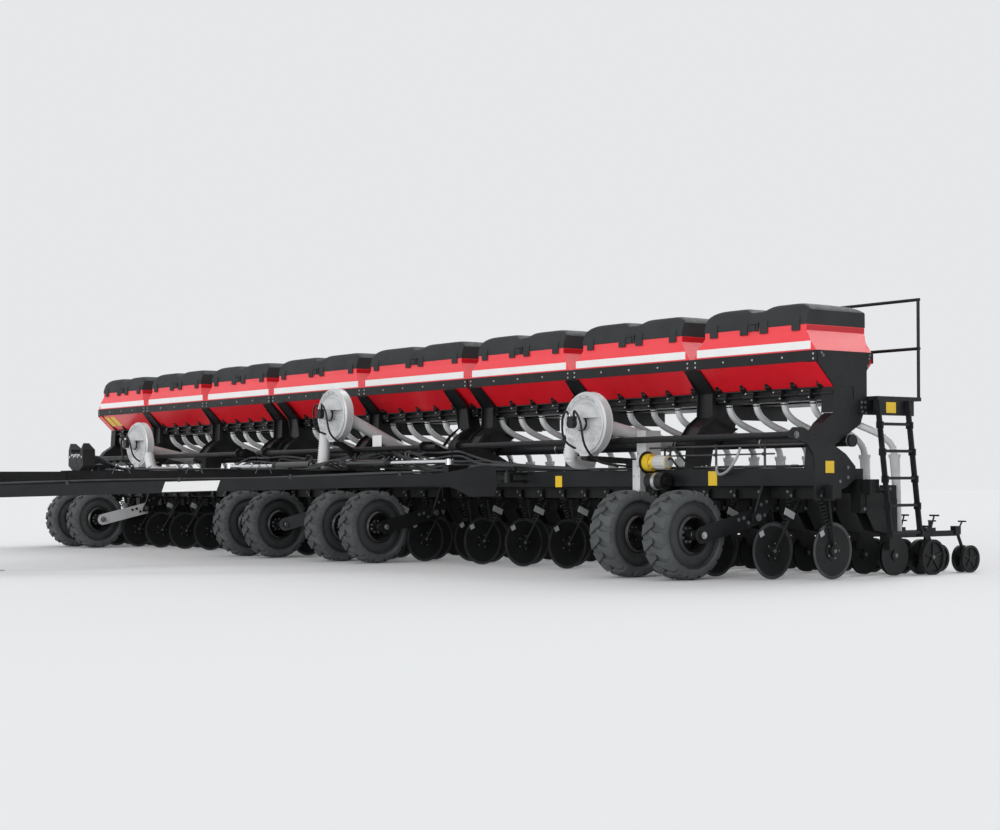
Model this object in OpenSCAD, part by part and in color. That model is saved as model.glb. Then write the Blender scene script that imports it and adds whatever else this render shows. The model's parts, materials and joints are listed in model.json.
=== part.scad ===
// Wide seed drill in line for sowing: a centre section on two twin-wheel sets,
// two wings hinged to it, a telescoping tongue and two draft arms.
// +X is the machine's left, -Y is forward, Z is up from the ground.
// Lengths are measured from the front of the hopper strip, then moved to the origin.

/* [Rows] */
// Distance between seed rows
row_pitch = 400; // [380:5:420]
// Diameter of a cutting coulter
coulter_d = 560; // [500:10:580]
// Diameter of a seed opener disc
opener_d = 415; // [380:5:430]
// Diameter of a depth wheel
depth_wheel_d = 370; // [340:5:380]
// Diameter of a closing wheel
closing_wheel_d = 290; // [260:5:300]

/* [Hoppers] */
// Depth of a hopper from front to rear at the strip
hopper_d = 830; // [780:10:860]
// Height of the lid's lower edge
lid_edge_z = 2560; // [2520:10:2600]
// Rise of the lid above its edge
lid_rise = 235; // [200:5:260]
// Height of the top of the black strip
strip_top_z = 2290; // [2270:10:2310]
// Height of the hopper's lower edge
hopper_floor_z = 1940; // [1920:10:1960]
// Wall of the moulded hopper
hopper_wall = 8; // [6:1:10]

/* [Frame] */
// Height of the top of the front beam
beam_top_z = 1120; // [1100:5:1140]
// Side of the square front beam
beam_size = 180; // [160:5:190]
// Height of the walkway
walkway_z = 1845; // [1820:5:1860]
// Height of the handrail above the walkway
rail_h = 1015; // [950:5:1060]

/* [Wheels] */
// Outer diameter of a tyre
tyre_d = 905; // [880:5:920]
// Width of a tyre
tyre_w = 340; // [320:5:350]
// Diameter of a rim
rim_d = 394; // [380:2:420]
// Diameter of an axle
axle_d = 60; // [50:2:70]

/* [Tongue] */
// Height of the tongue tube
tongue_h = 230; // [200:5:240]
// Width of the tongue tube
tongue_w = 200; // [180:5:220]
// Distance from the strip to the hitch eye
hitch_reach = 6500; // [6400:10:6700]
// Diameter of the hitch pin hole
hitch_pin_d = 40; // [32:1:45]

/* [Hidden] */
$fn = 32;

black = [0.13, 0.14, 0.15];
red = [0.78, 0.10, 0.14];
lid_grey = [0.26, 0.28, 0.29];
silver = [0.72, 0.73, 0.74];
hose_grey = [0.66, 0.68, 0.69];
rubber = [0.17, 0.18, 0.18];
steel = [0.30, 0.31, 0.32];
yellow = [0.85, 0.62, 0.10];

// Rows and sections
centre_rows = 12;
wing_rows = 15;
centre_half = centre_rows * row_pitch / 2;
wing_l = wing_rows * row_pitch;
outer_x = centre_half + wing_l;
end_x = outer_x - row_pitch / 2;
wing_hoppers = 3;
wing_hopper_l = wing_l / wing_hoppers;
fit = 0.05;
seat = 0.3;
side_gap = 15;

// Hopper
hopper_flare = 150;
hopper_top_front = 25;
hopper_top_rear = hopper_d + 65;
band_h = 60;
stripe_h = 110;
strip_h = 110;
strip_t = 8;
trough_front = 250;
trough_rear = 580;
meter_h = 130;
meter_front = 300;
meter_rear = 530;
hopper_gap = 30;
lid_wall = 10;
lid_overhang = 4;
lid_dip = 60;
lid_lip = 40;
lid_pin_r = 5;
lid_pin_y = hopper_top_rear + 21;
knuckle_r = 9;
knuckle_l = 60;
knuckle_inset = 300;
tab_w = 110;
tab_t = 12;
tab_drop = 60;
tab_inset = 140;

// Frame
beam_front = -80;
bar_size = 140;
rear_bar_y = 560;
rear_bar_z = 860;
tie_w = 120;
tie_h = 110;
coulter_bar_y = 40;
coulter_bar_size = 130;
coulter_bar_top = beam_top_z - beam_size;
plate_t = 12;
tube_r = 35;
tube_y = -350;
tube_z = 1440;
hinge_y = -250;
hinge_r = 30;
hinge_boss_r = 75;
ear_t = 30;

// Wheels
wheel_y = -900;
twin_half = row_pitch;
wing_set_x = 17 * row_pitch;
centre_set_x = 3 * row_pitch;
tyre_r = tyre_d / 2;
arm_x = twin_half + tyre_w / 2 + 80;
arm_t = 25;
arm_h = 140;
pivot_y = -160;
pivot_z = 620;
pivot_r = 30;

// Tongue
tongue_z = 940;
tongue_wall = 12;
tongue_rear = beam_front;
tongue_front = -4300;
slide_rear = -1300;
slide_w = tongue_w - 2 * tongue_wall - 2 * seat;
slide_h = tongue_h - 2 * tongue_wall - 2 * seat;
slide_z = tongue_z + tongue_wall + seat;
draft_x = centre_half + 3 * row_pitch;
draft_y = -330;
draft_z = 1050;
draft_front_x = 200;
draft_front_y = -hitch_reach + 770;
draft_front_z = 915;
draft_w = 120;
draft_h = 140;
draft_pin_r = 25;
eye_r = 65;
eye_t = 60;
hitch_z = 560;
nose_l = 500;
cheek_t = 20;
eye_plate_t = 50;
jack_y = -hitch_reach + 1250;
jack_x = 190;

// Fold cylinders
cyl_x = 450;
cyl_y = -520;
cyl_z = 1250;
cyl_eye_x = centre_half + 300;
cyl_barrel_r = 55;
cyl_rod_r = 28;
cyl_barrel_end = 1420;

// Rear end of the machine and the origin
opener_y = 1120;
depth_wheel_y = 1640;
closing_wheel_y = 2290;
rear_y = closing_wheel_y + closing_wheel_d / 2;
front_y = -hitch_reach - 60;
mid_y = (front_y + rear_y) / 2;

// Moves the machine so that its middle lies over the origin
module at_origin() translate([0, -mid_y, 0]) children();

// Extrudes a side view, drawn as [y, z] points, along X from x0 over length l
module along_x(x0, l) translate([x0, 0, 0]) rotate([90, 0, 90]) linear_extrude(l) children();

// Extrudes a front view, drawn as [x, z] points, along Y from y0 over length l
module along_y(y0, l) translate([0, y0 + l, 0]) rotate([90, 0, 0]) linear_extrude(l) children();

// Round bar between two points
module bar(a, b, r, f = 16) {
  v = b - a;
  l = norm(v);
  translate(a) rotate([0, acos(v[2] / l), atan2(v[1], v[0])]) cylinder(r = r, h = l, $fn = f);
}

// Box given by its low and high corners
module block(a, b) translate(a) cube(b - a);

// Cylinder along X centred on x
module disc_x(x, y, z, r, t, f = 32) translate([x - t / 2, y, z]) rotate([0, 90, 0])
  cylinder(r = r, h = t, $fn = f);

// Mirrors its children to the right side when side is -1
module on_side(side) mirror([side < 0 ? 1 : 0, 0, 0]) children();

// Hopper forms

// Side view of a hopper with its walls moved in by t
module hopper_side(t) {
  top = lid_edge_z + (t > 0 ? 1 : 0);
  strip_z = strip_top_z - strip_h;
  band_z = lid_edge_z - band_h;
  stripe_z = strip_top_z + stripe_h;
  polygon([
    [hopper_top_front + t, top], [hopper_top_front + t, band_z],
    [t, stripe_z], [t, strip_z],
    [trough_front + t, hopper_floor_z + t], [trough_rear - t, hopper_floor_z + t],
    [hopper_d - t, strip_z], [hopper_d - t, stripe_z],
    [hopper_top_rear - t, band_z], [hopper_top_rear - t, top]
  ]);
}

// Front view of a hopper of length l with its walls moved in by t
module hopper_front(l, t) {
  half = l / 2 - t;
  top = lid_edge_z + (t > 0 ? 1 : 0);
  band_z = lid_edge_z - band_h;
  polygon([
    [-half, hopper_floor_z - 1], [half, hopper_floor_z - 1],
    [half, strip_top_z], [half - hopper_flare, band_z], [half - hopper_flare, top],
    [-half + hopper_flare, top], [-half + hopper_flare, band_z], [-half, strip_top_z]
  ]);
}

module hopper_form(l, t) intersection() {
  along_x(-l, 2 * l) hopper_side(t);
  along_y(-hopper_d, 3 * hopper_d) hopper_front(l, t);
}

// Open-topped hopper over the slot from x0 to x1
module hopper(x0, x1) {
  l = x1 - x0 - 2 * hopper_gap;
  translate([(x0 + x1) / 2, 0, 0]) {
    difference() {
      hopper_form(l, 0);
      hopper_form(l, hopper_wall);
    }
    for (side = [-1, 1]) hopper_knuckle(side * (l / 2 - hopper_flare + lid_overhang - knuckle_inset));
  }
}

// Side view of a lid with its skin moved in by t
module lid_side(t) {
  front = hopper_top_front - lid_overhang + t;
  rear = hopper_top_rear + lid_overhang - t;
  top = lid_edge_z + lid_rise - t;
  base = lid_edge_z + seat - (t > 0 ? 1 : 0);
  polygon([
    [front, base], [front, base + lid_lip], [front + 70, top - 35], [front + 120, top - 8], [front + 200, top],
    [rear - 300, top - 5], [rear - 60, top - 30], [rear - 12, top - 50], [rear, top - 80], [rear, base]
  ]);
}

// Front view of a lid of length l with two humps and a dip between them
module lid_front(l, t) {
  half = l / 2 - t;
  top = lid_edge_z + lid_rise - t;
  base = lid_edge_z + seat - (t > 0 ? 1 : 0);
  polygon([
    [-half, base], [-half, top - 75], [-half + 30, top - 40], [-half + 140, top],
    [-150, top], [-60, top - lid_dip],
    [60, top - lid_dip], [150, top], [half - 140, top], [half - 30, top - 40], [half, top - 75], [half, base]
  ]);
}

module lid_form(l, t) intersection() {
  along_x(-l, 2 * l) lid_side(t);
  along_y(-hopper_d, 3 * hopper_d) lid_front(l, t);
}

// Moulded lid over the slot from x0 to x1
module lid(x0, x1) {
  l = x1 - x0 - 2 * hopper_gap - 2 * hopper_flare + 2 * lid_overhang;
  at_origin() color(lid_grey) translate([(x0 + x1) / 2, 0, 0]) {
    difference() {
      lid_form(l, 0);
      lid_form(l, lid_wall);
    }
    for (side = [-1, 1]) {
      for (x = [tab_inset, l / 2 - tab_inset]) lid_tab(side * x, tab_w, tab_t, tab_drop);
      lid_knuckle(side * (l / 2 - knuckle_inset));
    }
    lid_tab(0, 70, 2 * tab_t, 25);
  }
}

// Tab that hooks over the hopper's front
module lid_tab(x, w, t, drop) {
  front = hopper_top_front - lid_overhang;
  block([x - w / 2, front - t, lid_edge_z - drop], [x + w / 2, front + 1, lid_edge_z + lid_lip]);
}

// Sleeve of a lid hinge
module lid_knuckle(x) difference() {
  union() {
    disc_x(x, lid_pin_y, lid_edge_z, knuckle_r, knuckle_l, 24);
    block([x - knuckle_l / 2, hopper_top_rear - 4, lid_edge_z + 2],
      [x + knuckle_l / 2, lid_pin_y, lid_edge_z + knuckle_r]);
  }
  disc_x(x, lid_pin_y, lid_edge_z, lid_pin_r + fit, 2 * knuckle_l, 24);
}

// Ears and pin of a lid hinge on the hopper's rear
module hopper_knuckle(x) {
  for (side = [-1, 1]) {
    disc_x(x + side * (knuckle_l / 2 + 7), lid_pin_y, lid_edge_z, knuckle_r, 10, 24);
    block([x + side * (knuckle_l / 2 + 7) - 5, hopper_top_rear - 2, lid_edge_z - 40],
      [x + side * (knuckle_l / 2 + 7) + 5, lid_pin_y + knuckle_r - 2, lid_edge_z - 4]);
  }
  disc_x(x, lid_pin_y, lid_edge_z, lid_pin_r, knuckle_l + 24, 24);
}

// Slot limits of the hoppers counted from the right end
function slot_x(i) =
  i == 0 ? -end_x :
  i == 2 * wing_hoppers + 2 ? end_x :
  i < wing_hoppers ? -outer_x + i * wing_hopper_l :
  i < wing_hoppers + 3 ? (i - wing_hoppers - 1) * centre_half :
  centre_half + (i - wing_hoppers - 2) * wing_hopper_l;

module centre_hoppers() at_origin() color(red) for (i = [3, 4]) hopper(slot_x(i), slot_x(i + 1));
module wing_hopper_row(side) at_origin() color(red) on_side(side) {
  for (i = [5 : 7]) hopper(slot_x(i), slot_x(i + 1));
}

// Stands, strips and metering boxes

// Plate that stands between two hoppers, with a window for the metering box
module stand_plate(x) difference() {
  along_x(x - plate_t / 2, plate_t) polygon([
    [seat, strip_top_z], [hopper_d - seat, strip_top_z],
    [730, 2100], [730, 1790], [630, 1560], [250, 1350], [200, beam_top_z],
    [-60, beam_top_z], [-20, 1460], [70, 1566], [230, 1670], [trough_front - 1.8, hopper_floor_z - 1.8],
    [3, strip_top_z - strip_h - 6.3], [3, strip_top_z - strip_h]
  ]);
  meter_box(x - plate_t, x + plate_t, seat);
}

// Stand set in from the hopper's end, cut round the hopper
module inset_stand(x) difference() {
  along_x(x - plate_t / 2, plate_t) polygon([
    [-45, strip_top_z - strip_h - seat], [hopper_d + 45, strip_top_z - strip_h - seat],
    [730, 1880], [730, 1790], [630, 1560], [250, 1350], [200, beam_top_z],
    [-60, beam_top_z], [-20, 1460], [70, 1566], [200, 1670], [195, hopper_floor_z]
  ]);
  along_x(x - plate_t, 2 * plate_t) hopper_side(-2 * seat);
  meter_box(x - plate_t, x + plate_t, seat);
}

module meter_box(x0, x1, grow = 0) block(
  [x0, meter_front - grow, hopper_floor_z - meter_h - grow], [x1, meter_rear + grow, hopper_floor_z + grow]);

module strip_and_meter(x0, x1) {
  block([x0, -strip_t, strip_top_z - strip_h], [x1, 0, strip_top_z]);
  block([x0, hopper_d, strip_top_z - strip_h], [x1, hopper_d + strip_t, strip_top_z]);
  meter_box(x0, x1);
}

// Folded leg under a stand: two cheeks and the web across their front
leg_half = 60;
module stand_leg(x) {
  for (dx = [-leg_half, leg_half]) along_x(x + dx - plate_t / 2, plate_t) polygon([
    [250, 1350], [200, beam_top_z], [-60, beam_top_z], [-20, 1460], [70, 1566], [230, 1670], [630, 1560]]);
  along_x(x - leg_half, 2 * leg_half) polygon([
    [-60, beam_top_z], [-20, 1460], [70, 1566], [230, 1670],
    [236, 1660], [78, 1557], [-9, 1456], [-49, beam_top_z]]);
}

// Cover in front of a stand, along the hopper's sloping panel and down to the leg
cover_half = 80;
module stand_cover(x) along_x(x - cover_half, 2 * cover_half) polygon([
  [-2, strip_top_z - strip_h - 2], [trough_front - 2.1, hopper_floor_z - 2.1], [229.6, 1672],
  [221, 1672], [trough_front - 10, hopper_floor_z - 5], [-8, strip_top_z - strip_h - 8]]);

// Cover on the front edge of an inset stand
module inset_cover(x) along_x(x - cover_half, 2 * cover_half) polygon([
  [-41.7, strip_top_z - strip_h - 4], [194.6, hopper_floor_z - 2], [199.5, 1672], [199.5, 1655],
  [190, 1655], [185, hopper_floor_z - 4], [-49.5, strip_top_z - strip_h - 10]]);

inset_x = centre_half - 350;
module centre_stands() at_origin() color(black) {
  stand_plate(0);
  stand_cover(0);
  stand_leg(0);
  for (side = [-1, 1]) {
    inset_stand(side * inset_x);
    inset_cover(side * inset_x);
    stand_leg(side * inset_x);
  }
  strip_and_meter(-centre_half + side_gap, centre_half - side_gap);
}

function wing_stand_x(i) = i == 3 ? end_x - side_gap :
  centre_half + i * wing_hopper_l + (i == 0 ? side_gap : 0);
module wing_stands(side) at_origin() color(black) on_side(side) {
  for (i = [0 : 3]) {
    stand_plate(wing_stand_x(i));
    stand_leg(wing_stand_x(i) + (i == 0 ? leg_half : i == 3 ? -leg_half : 0));
    stand_cover(wing_stand_x(i) + (i == 0 ? cover_half - plate_t / 2 : i == 3 ? plate_t / 2 - cover_half : 0));
  }
  strip_and_meter(wing_stand_x(0), wing_stand_x(3));
}

// Frames

// Distance of a hook plate from the wheel arm beside it
hook_gap = 90;
module hook_plate(x) difference() {
  along_x(x - plate_t, 2 * plate_t) polygon([
    [beam_front, 793], [100, 793], [170, 870], [375, 920], [514, 1010], [514, 1130], [375, 1254], [238, 1323],
    [-20, 1413], [-160, 1480], [-250, 1515], [-380, 1515], [-435, 1475], [-440, 1410], [-300, 1385],
    [-190, 1350], [-100, 1250], [beam_front, beam_top_z]
  ]);
  block([x - 2 * plate_t, coulter_bar_y - 25, 700],
    [x + 2 * plate_t, coulter_bar_y + coulter_bar_size + 25, coulter_bar_top]);
}

module section_frame(x0, x1, ties) {
  block([x0, beam_front, beam_top_z - beam_size], [x1, beam_front + beam_size, beam_top_z]);
  for (x = ties) block([x - tie_w / 2, 0, rear_bar_z + bar_size],
    [x + tie_w / 2, rear_bar_y + bar_size, rear_bar_z + bar_size + tie_h]);
}

module hinge_ears() {
  for (z = [beam_top_z - ear_t, beam_top_z - beam_size]) {
    translate([centre_half, hinge_y, z]) cylinder(r = hinge_boss_r, h = ear_t);
    block([centre_half - 260, hinge_y - 60, z], [centre_half - 20, beam_front + 1, z + ear_t]);
    block([centre_half - 60, hinge_y - 60, z], [centre_half, hinge_y + 60, z + ear_t]);
  }
  translate([centre_half, hinge_y, beam_top_z - beam_size - 15]) cylinder(r = hinge_r, h = beam_size + 30);
}

// Slanted post that carries a fan in front of the beam
module fan_post(x, top) along_x(x - 50, 100) polygon([
  [0, beam_top_z], [90, beam_top_z], [40, beam_top_z + 130], [fan_y + fan_w / 2, top],
  [fan_y - fan_w / 2, top], [fan_y - fan_w / 2, top - 40], [fan_y + 60, top - 60],
  [-20, beam_top_z + 70]]);

module centre_frame() at_origin() color(black) {
  section_frame(-centre_half + side_gap * 2, centre_half - side_gap * 2, [for (i = [-2 : 2]) i * inset_x / 2]);
  for (side = [-1, 1]) on_side(side) {
    hook_plate(centre_set_x + arm_x + hook_gap);
    hinge_ears();
  }
  bar([-centre_half + 200, tube_y, tube_z], [centre_half - 200, tube_y, tube_z], tube_r, 32);
  fan_post(centre_fan_x, centre_fan_z - fan_drop);
}

module hinge_lug() difference() {
  union() {
    translate([centre_half, hinge_y, beam_top_z - beam_size + ear_t + seat])
      cylinder(r = hinge_boss_r, h = beam_size - 2 * ear_t - 2 * seat);
    block([centre_half, hinge_y - 50, beam_top_z - beam_size + ear_t + seat],
      [centre_half + 200, beam_front + 1, beam_top_z - ear_t - seat]);
  }
  translate([centre_half, hinge_y, 0]) cylinder(r = hinge_r + fit, h = 2 * beam_top_z);
}

module draft_lugs() {
  for (z = [draft_z - eye_t / 2 - ear_t - seat, draft_z + eye_t / 2 + seat]) {
    translate([draft_x, draft_y, z]) cylinder(r = eye_r, h = ear_t);
    block([draft_x - eye_r, draft_y, z], [draft_x + eye_r, beam_front + 1, z + ear_t]);
  }
  translate([draft_x, draft_y, draft_z - eye_t]) cylinder(r = draft_pin_r, h = 2 * eye_t + 20);
}

module wing_frame(side) at_origin() color(black) on_side(side) {
  ties = [for (i = [0 : 2 * wing_hoppers])
    i == 2 * wing_hoppers ? end_x - 100 : centre_half + i * wing_hopper_l / 2 + (i == 0 ? 100 : 0)];
  section_frame(centre_half + 2 * side_gap, end_x + 2 * plate_t, ties);
  hook_plate(end_x + plate_t);
  hook_plate(centre_half + 300);
  bar([centre_half + 200, tube_y, tube_z], [end_x + 2 * plate_t, tube_y, tube_z], tube_r, 32);
  hinge_lug();
  draft_lugs();
  fan_post(fan_x, fan_z - fan_drop);
  block([cyl_eye_x - 60, cyl_y - 60, beam_top_z], [cyl_eye_x + 60, 60, cyl_z - 42]);
}

// Row tools

// Height at which a tool's lowest edge stays over the ground
tool_clear = 8;

// Cutting coulter on its arms, with a clamp round the coulter bar, on the front or rear rank
module coulter(x, y) {
  z = coulter_d / 2 + tool_clear;
  difference() {
    union() {
      disc_x(x, y, z, coulter_d / 2, 6, 48);
      disc_x(x, y, z, 55, 70, 24);
      block([x - 45, coulter_bar_y - 20, coulter_bar_top - coulter_bar_size - 20],
        [x + 45, coulter_bar_y + coulter_bar_size + 20, coulter_bar_top - 30]);
      for (dx = [-30, 30]) {
        bar([x + dx, coulter_bar_y + coulter_bar_size / 2, coulter_bar_top - coulter_bar_size],
          [x + dx, y, z], 14, 12);
      }
    }
    coulter_bar(x - row_pitch / 2, x + row_pitch / 2, seat);
  }
}

front_rank_y = -250;
rear_rank_y = 190;
function rank_y(i) = i % 2 == 0 ? rear_rank_y : front_rank_y;

module coulter_bar(x0, x1, grow = 0) block(
  [x0, coulter_bar_y - grow, coulter_bar_top - coulter_bar_size - grow],
  [x1, coulter_bar_y + coulter_bar_size + grow, coulter_bar_top + grow]);

module centre_coulters() at_origin() color(steel) {
  coulter_bar(-centre_half + 2 * side_gap, centre_half - 2 * side_gap);
  for (side = [-1, 1]) on_side(side) {
    for (i = [0 : centre_rows / 2 - 1]) coulter(centre_half - (i + 0.5) * row_pitch, rank_y(i));
  }
}

module wing_coulters(side) at_origin() color(steel) on_side(side) {
  coulter_bar(centre_half + 2 * side_gap, outer_x - 60);
  for (i = [0 : wing_rows - 1]) coulter(outer_x - (i + 0.5) * row_pitch, rank_y(i));
}

// Small wheel along X with a thin web inside its rim
module dished_wheel(x, y, z, r, t) translate([x, y, z]) rotate([0, 90, 0]) rotate_extrude($fn = 32) polygon([
  [0, -t / 8], [r - 32, -t / 8], [r - 28, -t / 2], [r, -t / 2],
  [r, t / 2], [r - 28, t / 2], [r - 32, t / 8], [0, t / 8]]);

// Seed opener on its parallel arms, with a depth wheel and a closing wheel
shank_y = 1000;
module opener(x) difference() {
  opener_form(x);
  rear_bar(x - row_pitch / 2, x + row_pitch / 2, seat);
}

module opener_form(x) {
  disc_z = opener_d / 2 + tool_clear;
  wheel_z = depth_wheel_d / 2;
  closing_z = closing_wheel_d / 2 + 2;
  for (dz = [0, 200]) for (dx = [-60, 60]) {
    block([x + dx - 6, rear_bar_y + 60, rear_bar_z - 180 + dz],
      [x + dx + 6, shank_y + 20, rear_bar_z - 140 + dz]);
  }
  block([x - 66, rear_bar_y - 20, rear_bar_z - 200],
    [x + 66, rear_bar_y + bar_size + 20, rear_bar_z + bar_size]);
  block([x - 66, shank_y - 20, disc_z + 60], [x + 66, shank_y + 90, rear_bar_z + 80]);
  block([x - 15, shank_y, disc_z - 20], [x + 15, opener_y + 40, disc_z + 320]);
  for (dx = [-16, 16]) disc_x(x + dx, opener_y, disc_z, opener_d / 2, 6, 40);
  disc_x(x, opener_y, disc_z, 40, 60, 20);
  block([x - 20, shank_y + 60, disc_z + 180], [x + 20, closing_wheel_y - 120, disc_z + 240]);
  for (dx = [-75, 75]) dished_wheel(x + dx, depth_wheel_y, wheel_z, depth_wheel_d / 2, 55);
  disc_x(x, depth_wheel_y, wheel_z, 30, 150, 16);
  block([x - 12, depth_wheel_y - 30, wheel_z - 20], [x + 12, depth_wheel_y + 30, disc_z + 200]);
  for (dx = [-55, 55]) dished_wheel(x + dx, closing_wheel_y, closing_z, closing_wheel_d / 2, 40);
  disc_x(x, closing_wheel_y, closing_z, 22, 110, 16);
  bar([x, closing_wheel_y, closing_z], [x, closing_wheel_y - 140, disc_z + 210], 18, 12);
  bar([x, depth_wheel_y + 60, disc_z + 220], [x, depth_wheel_y + 130, disc_z + 400], 9, 12);
  bar([x, closing_wheel_y - 140, disc_z + 210], [x, closing_wheel_y - 60, disc_z + 330], 9, 12);
}

module rear_bar(x0, x1, grow = 0) block([x0, rear_bar_y - grow, rear_bar_z - grow],
  [x1, rear_bar_y + bar_size + grow, rear_bar_z + bar_size + grow]);

module centre_openers() at_origin() color(steel) {
  rear_bar(-centre_half + 2 * side_gap, centre_half - 2 * side_gap);
  for (i = [0 : centre_rows - 1]) opener(-centre_half + (i + 0.5) * row_pitch);
}

module wing_openers(side) at_origin() color(steel) on_side(side) {
  rear_bar(centre_half + 2 * side_gap, outer_x - 30);
  for (i = [0 : wing_rows - 1]) opener(centre_half + (i + 0.5) * row_pitch);
}

// Seed hoses and drop tubes

hose_r = 36;
hose_y = 360;
hose_rings = 9;
hose_sides = 8;
drop_top = [1140, 1260];
drop_end = [1205, opener_d / 2 + tool_clear + 243];
drop_dir = (drop_end - drop_top) / norm(drop_end - drop_top);
drop_r = 62;
drop_collar = 40;
drop_end_r = 30;

// Point and direction of the hose's S-curve, as [y, z], at t from 0 to 1
function hose_ends() = [
  [hose_y, hopper_floor_z - meter_h], [hose_y, hopper_floor_z - meter_h - 310],
  drop_top - 300 * drop_dir, drop_top];
function hose_point(t) = let (p = hose_ends())
  pow(1 - t, 3) * p[0] + 3 * t * pow(1 - t, 2) * p[1] + 3 * t * t * (1 - t) * p[2] + t * t * t * p[3];
function hose_slope(t) = let (p = hose_ends())
  3 * pow(1 - t, 2) * (p[1] - p[0]) + 6 * t * (1 - t) * (p[2] - p[1]) + 3 * t * t * (p[3] - p[2]);
function hose_ring(t) = let (c = hose_point(t), d = hose_slope(t) / norm(hose_slope(t)))
  [for (k = [0 : hose_sides - 1]) let (a = 360 * k / hose_sides, u = hose_r * cos(a), v = hose_r * sin(a))
    [v, c[0] - u * d[1], c[1] + u * d[0]]];

module seed_hose(x) {
  inward = x > end_x - row_pitch / 2 ? -0.3 * row_pitch : 0;
  rings = [for (i = [0 : hose_rings - 1]) let (t = i / (hose_rings - 1))
    [for (p = hose_ring(t)) p + [inward * (1 - t) * (1 - t) * (1 + 2 * t), 0, 0]]];
  last = (hose_rings - 1) * hose_sides;
  sides = [for (i = [0 : hose_rings - 2]) for (k = [0 : hose_sides - 1]) let (n = (k + 1) % hose_sides)
    [i * hose_sides + k, i * hose_sides + n, (i + 1) * hose_sides + n, (i + 1) * hose_sides + k]];
  start_cap = [for (k = [hose_sides - 1 : -1 : 0]) k];
  end_cap = [for (k = [0 : hose_sides - 1]) last + k];
  translate([x, 0, 0]) polyhedron([for (r = rings) each r], concat(sides, [start_cap, end_cap]));
}

// Collar and tapered tube from the end of a hose down to an opener
module drop_tube(x) translate([x, drop_top[0], drop_top[1]])
  rotate([180 + atan2(drop_dir[0], -drop_dir[1]), 0, 0])
  rotate_extrude($fn = 24) polygon([
    [0, seat], [drop_r, seat], [drop_r, drop_collar], [drop_r - 8, drop_collar],
    [drop_end_r, norm(drop_end - drop_top)], [0, norm(drop_end - drop_top)]]);

module centre_seed_hoses() at_origin() color(hose_grey) {
  for (i = [0 : centre_rows - 1]) seed_hose(-centre_half + (i + 0.5) * row_pitch);
}

module wing_seed_hoses(side) at_origin() color(hose_grey) on_side(side) {
  for (i = [0 : wing_rows - 1]) seed_hose(centre_half + (i + 0.5) * row_pitch);
}

module centre_drop_tubes() at_origin() color(hose_grey) {
  for (i = [0 : centre_rows - 1]) drop_tube(-centre_half + (i + 0.5) * row_pitch);
}

module wing_drop_tubes(side) at_origin() color(hose_grey) on_side(side) {
  for (i = [0 : wing_rows - 1]) drop_tube(centre_half + (i + 0.5) * row_pitch);
}

// Fans and air ducts

fan_x = centre_half + 1.5 * wing_hopper_l;
centre_fan_x = 280;
fan_y = -600;
fan_z = 1630;
centre_fan_z = 1900;
fan_r = 345;
fan_w = 150;
duct_r = 57;
duct_y = 450;
duct_z = 1390;

// Height from the foot of a fan to its axis
fan_drop = fan_r + 10;

module fan(x, z, duct_x0, duct_x1) {
  translate([x, fan_y + fan_w / 2, z]) rotate([90, 0, 0]) rotate_extrude($fn = 48) polygon([
    [0, 0], [fan_r - 25, 0], [fan_r, 25], [fan_r, fan_w - 25], [fan_r - 25, fan_w], [fan_r - 60, fan_w],
    [fan_r - 75, fan_w - 25], [0, fan_w - 25]]);
  translate([x, fan_y - fan_w / 2 + 30, z]) rotate([90, 0, 0]) cylinder(r = 70, h = 170);
  intersection() {
    translate([x, fan_y - fan_w / 2 + 30, z]) rotate([90, 0, 0])
      cylinder(r1 = fan_r - 100, r2 = fan_r - 140, h = 80);
    block([x - fan_r, fan_y - fan_w, z + 60], [x + fan_r, fan_y, z + fan_r]);
  }
  along_y(fan_y - fan_w / 2, fan_w) polygon([
    [x - 60, z - fan_drop], [x + 60, z - fan_drop], [x + 200, z - 200], [x - 200, z - 200]]);
  bar([x + 200, fan_y, z - 20], [x + 200, duct_y, duct_z], 65, 24);
  bar([x - 240, fan_y, z - 100], [x - 340, fan_y + 10, beam_top_z + 150], 70, 24);
  bar([duct_x0, duct_y, duct_z], [duct_x1, duct_y, duct_z], duct_r, 32);
}

module centre_fan() at_origin() color(silver)
  fan(centre_fan_x, centre_fan_z, -centre_half + side_gap, centre_half - side_gap);
module wing_fan(side) at_origin() color(silver) on_side(side)
  fan(fan_x, fan_z, centre_half + side_gap, end_x + 50);

// Drive of the metering shaft on the left wing
drive_x = 5900;
drive_y = -150;
drive_z = 1200;
module drive_guard() at_origin() color(silver) {
  x = drive_x - 60;
  block([x - 150, drive_y - 10, beam_top_z + seat], [x, 60, beam_top_z + 430]);
  block([x - 220, drive_y - 10, 830], [x - 100, beam_front - seat, beam_top_z + 110]);
}

module drive_gearbox() at_origin() color(yellow) {
  disc_x(drive_x, drive_y, drive_z, 95, 90, 32);
  disc_x(drive_x + 160, drive_y, drive_z, 70, 250, 32);
  block([drive_x - 40, drive_y, beam_top_z + seat], [drive_x + 40, 40, beam_top_z + 40]);
}

// Walkway, handrail and ladders

deck_front = 760;
deck_rear = 1450;
deck_t = 40;
bracket_h = 150;
rail_r = 17;
rail_y = deck_rear - rail_r - 5;
post_gap = 1500;
walkway_end = end_x + 100;

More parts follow.
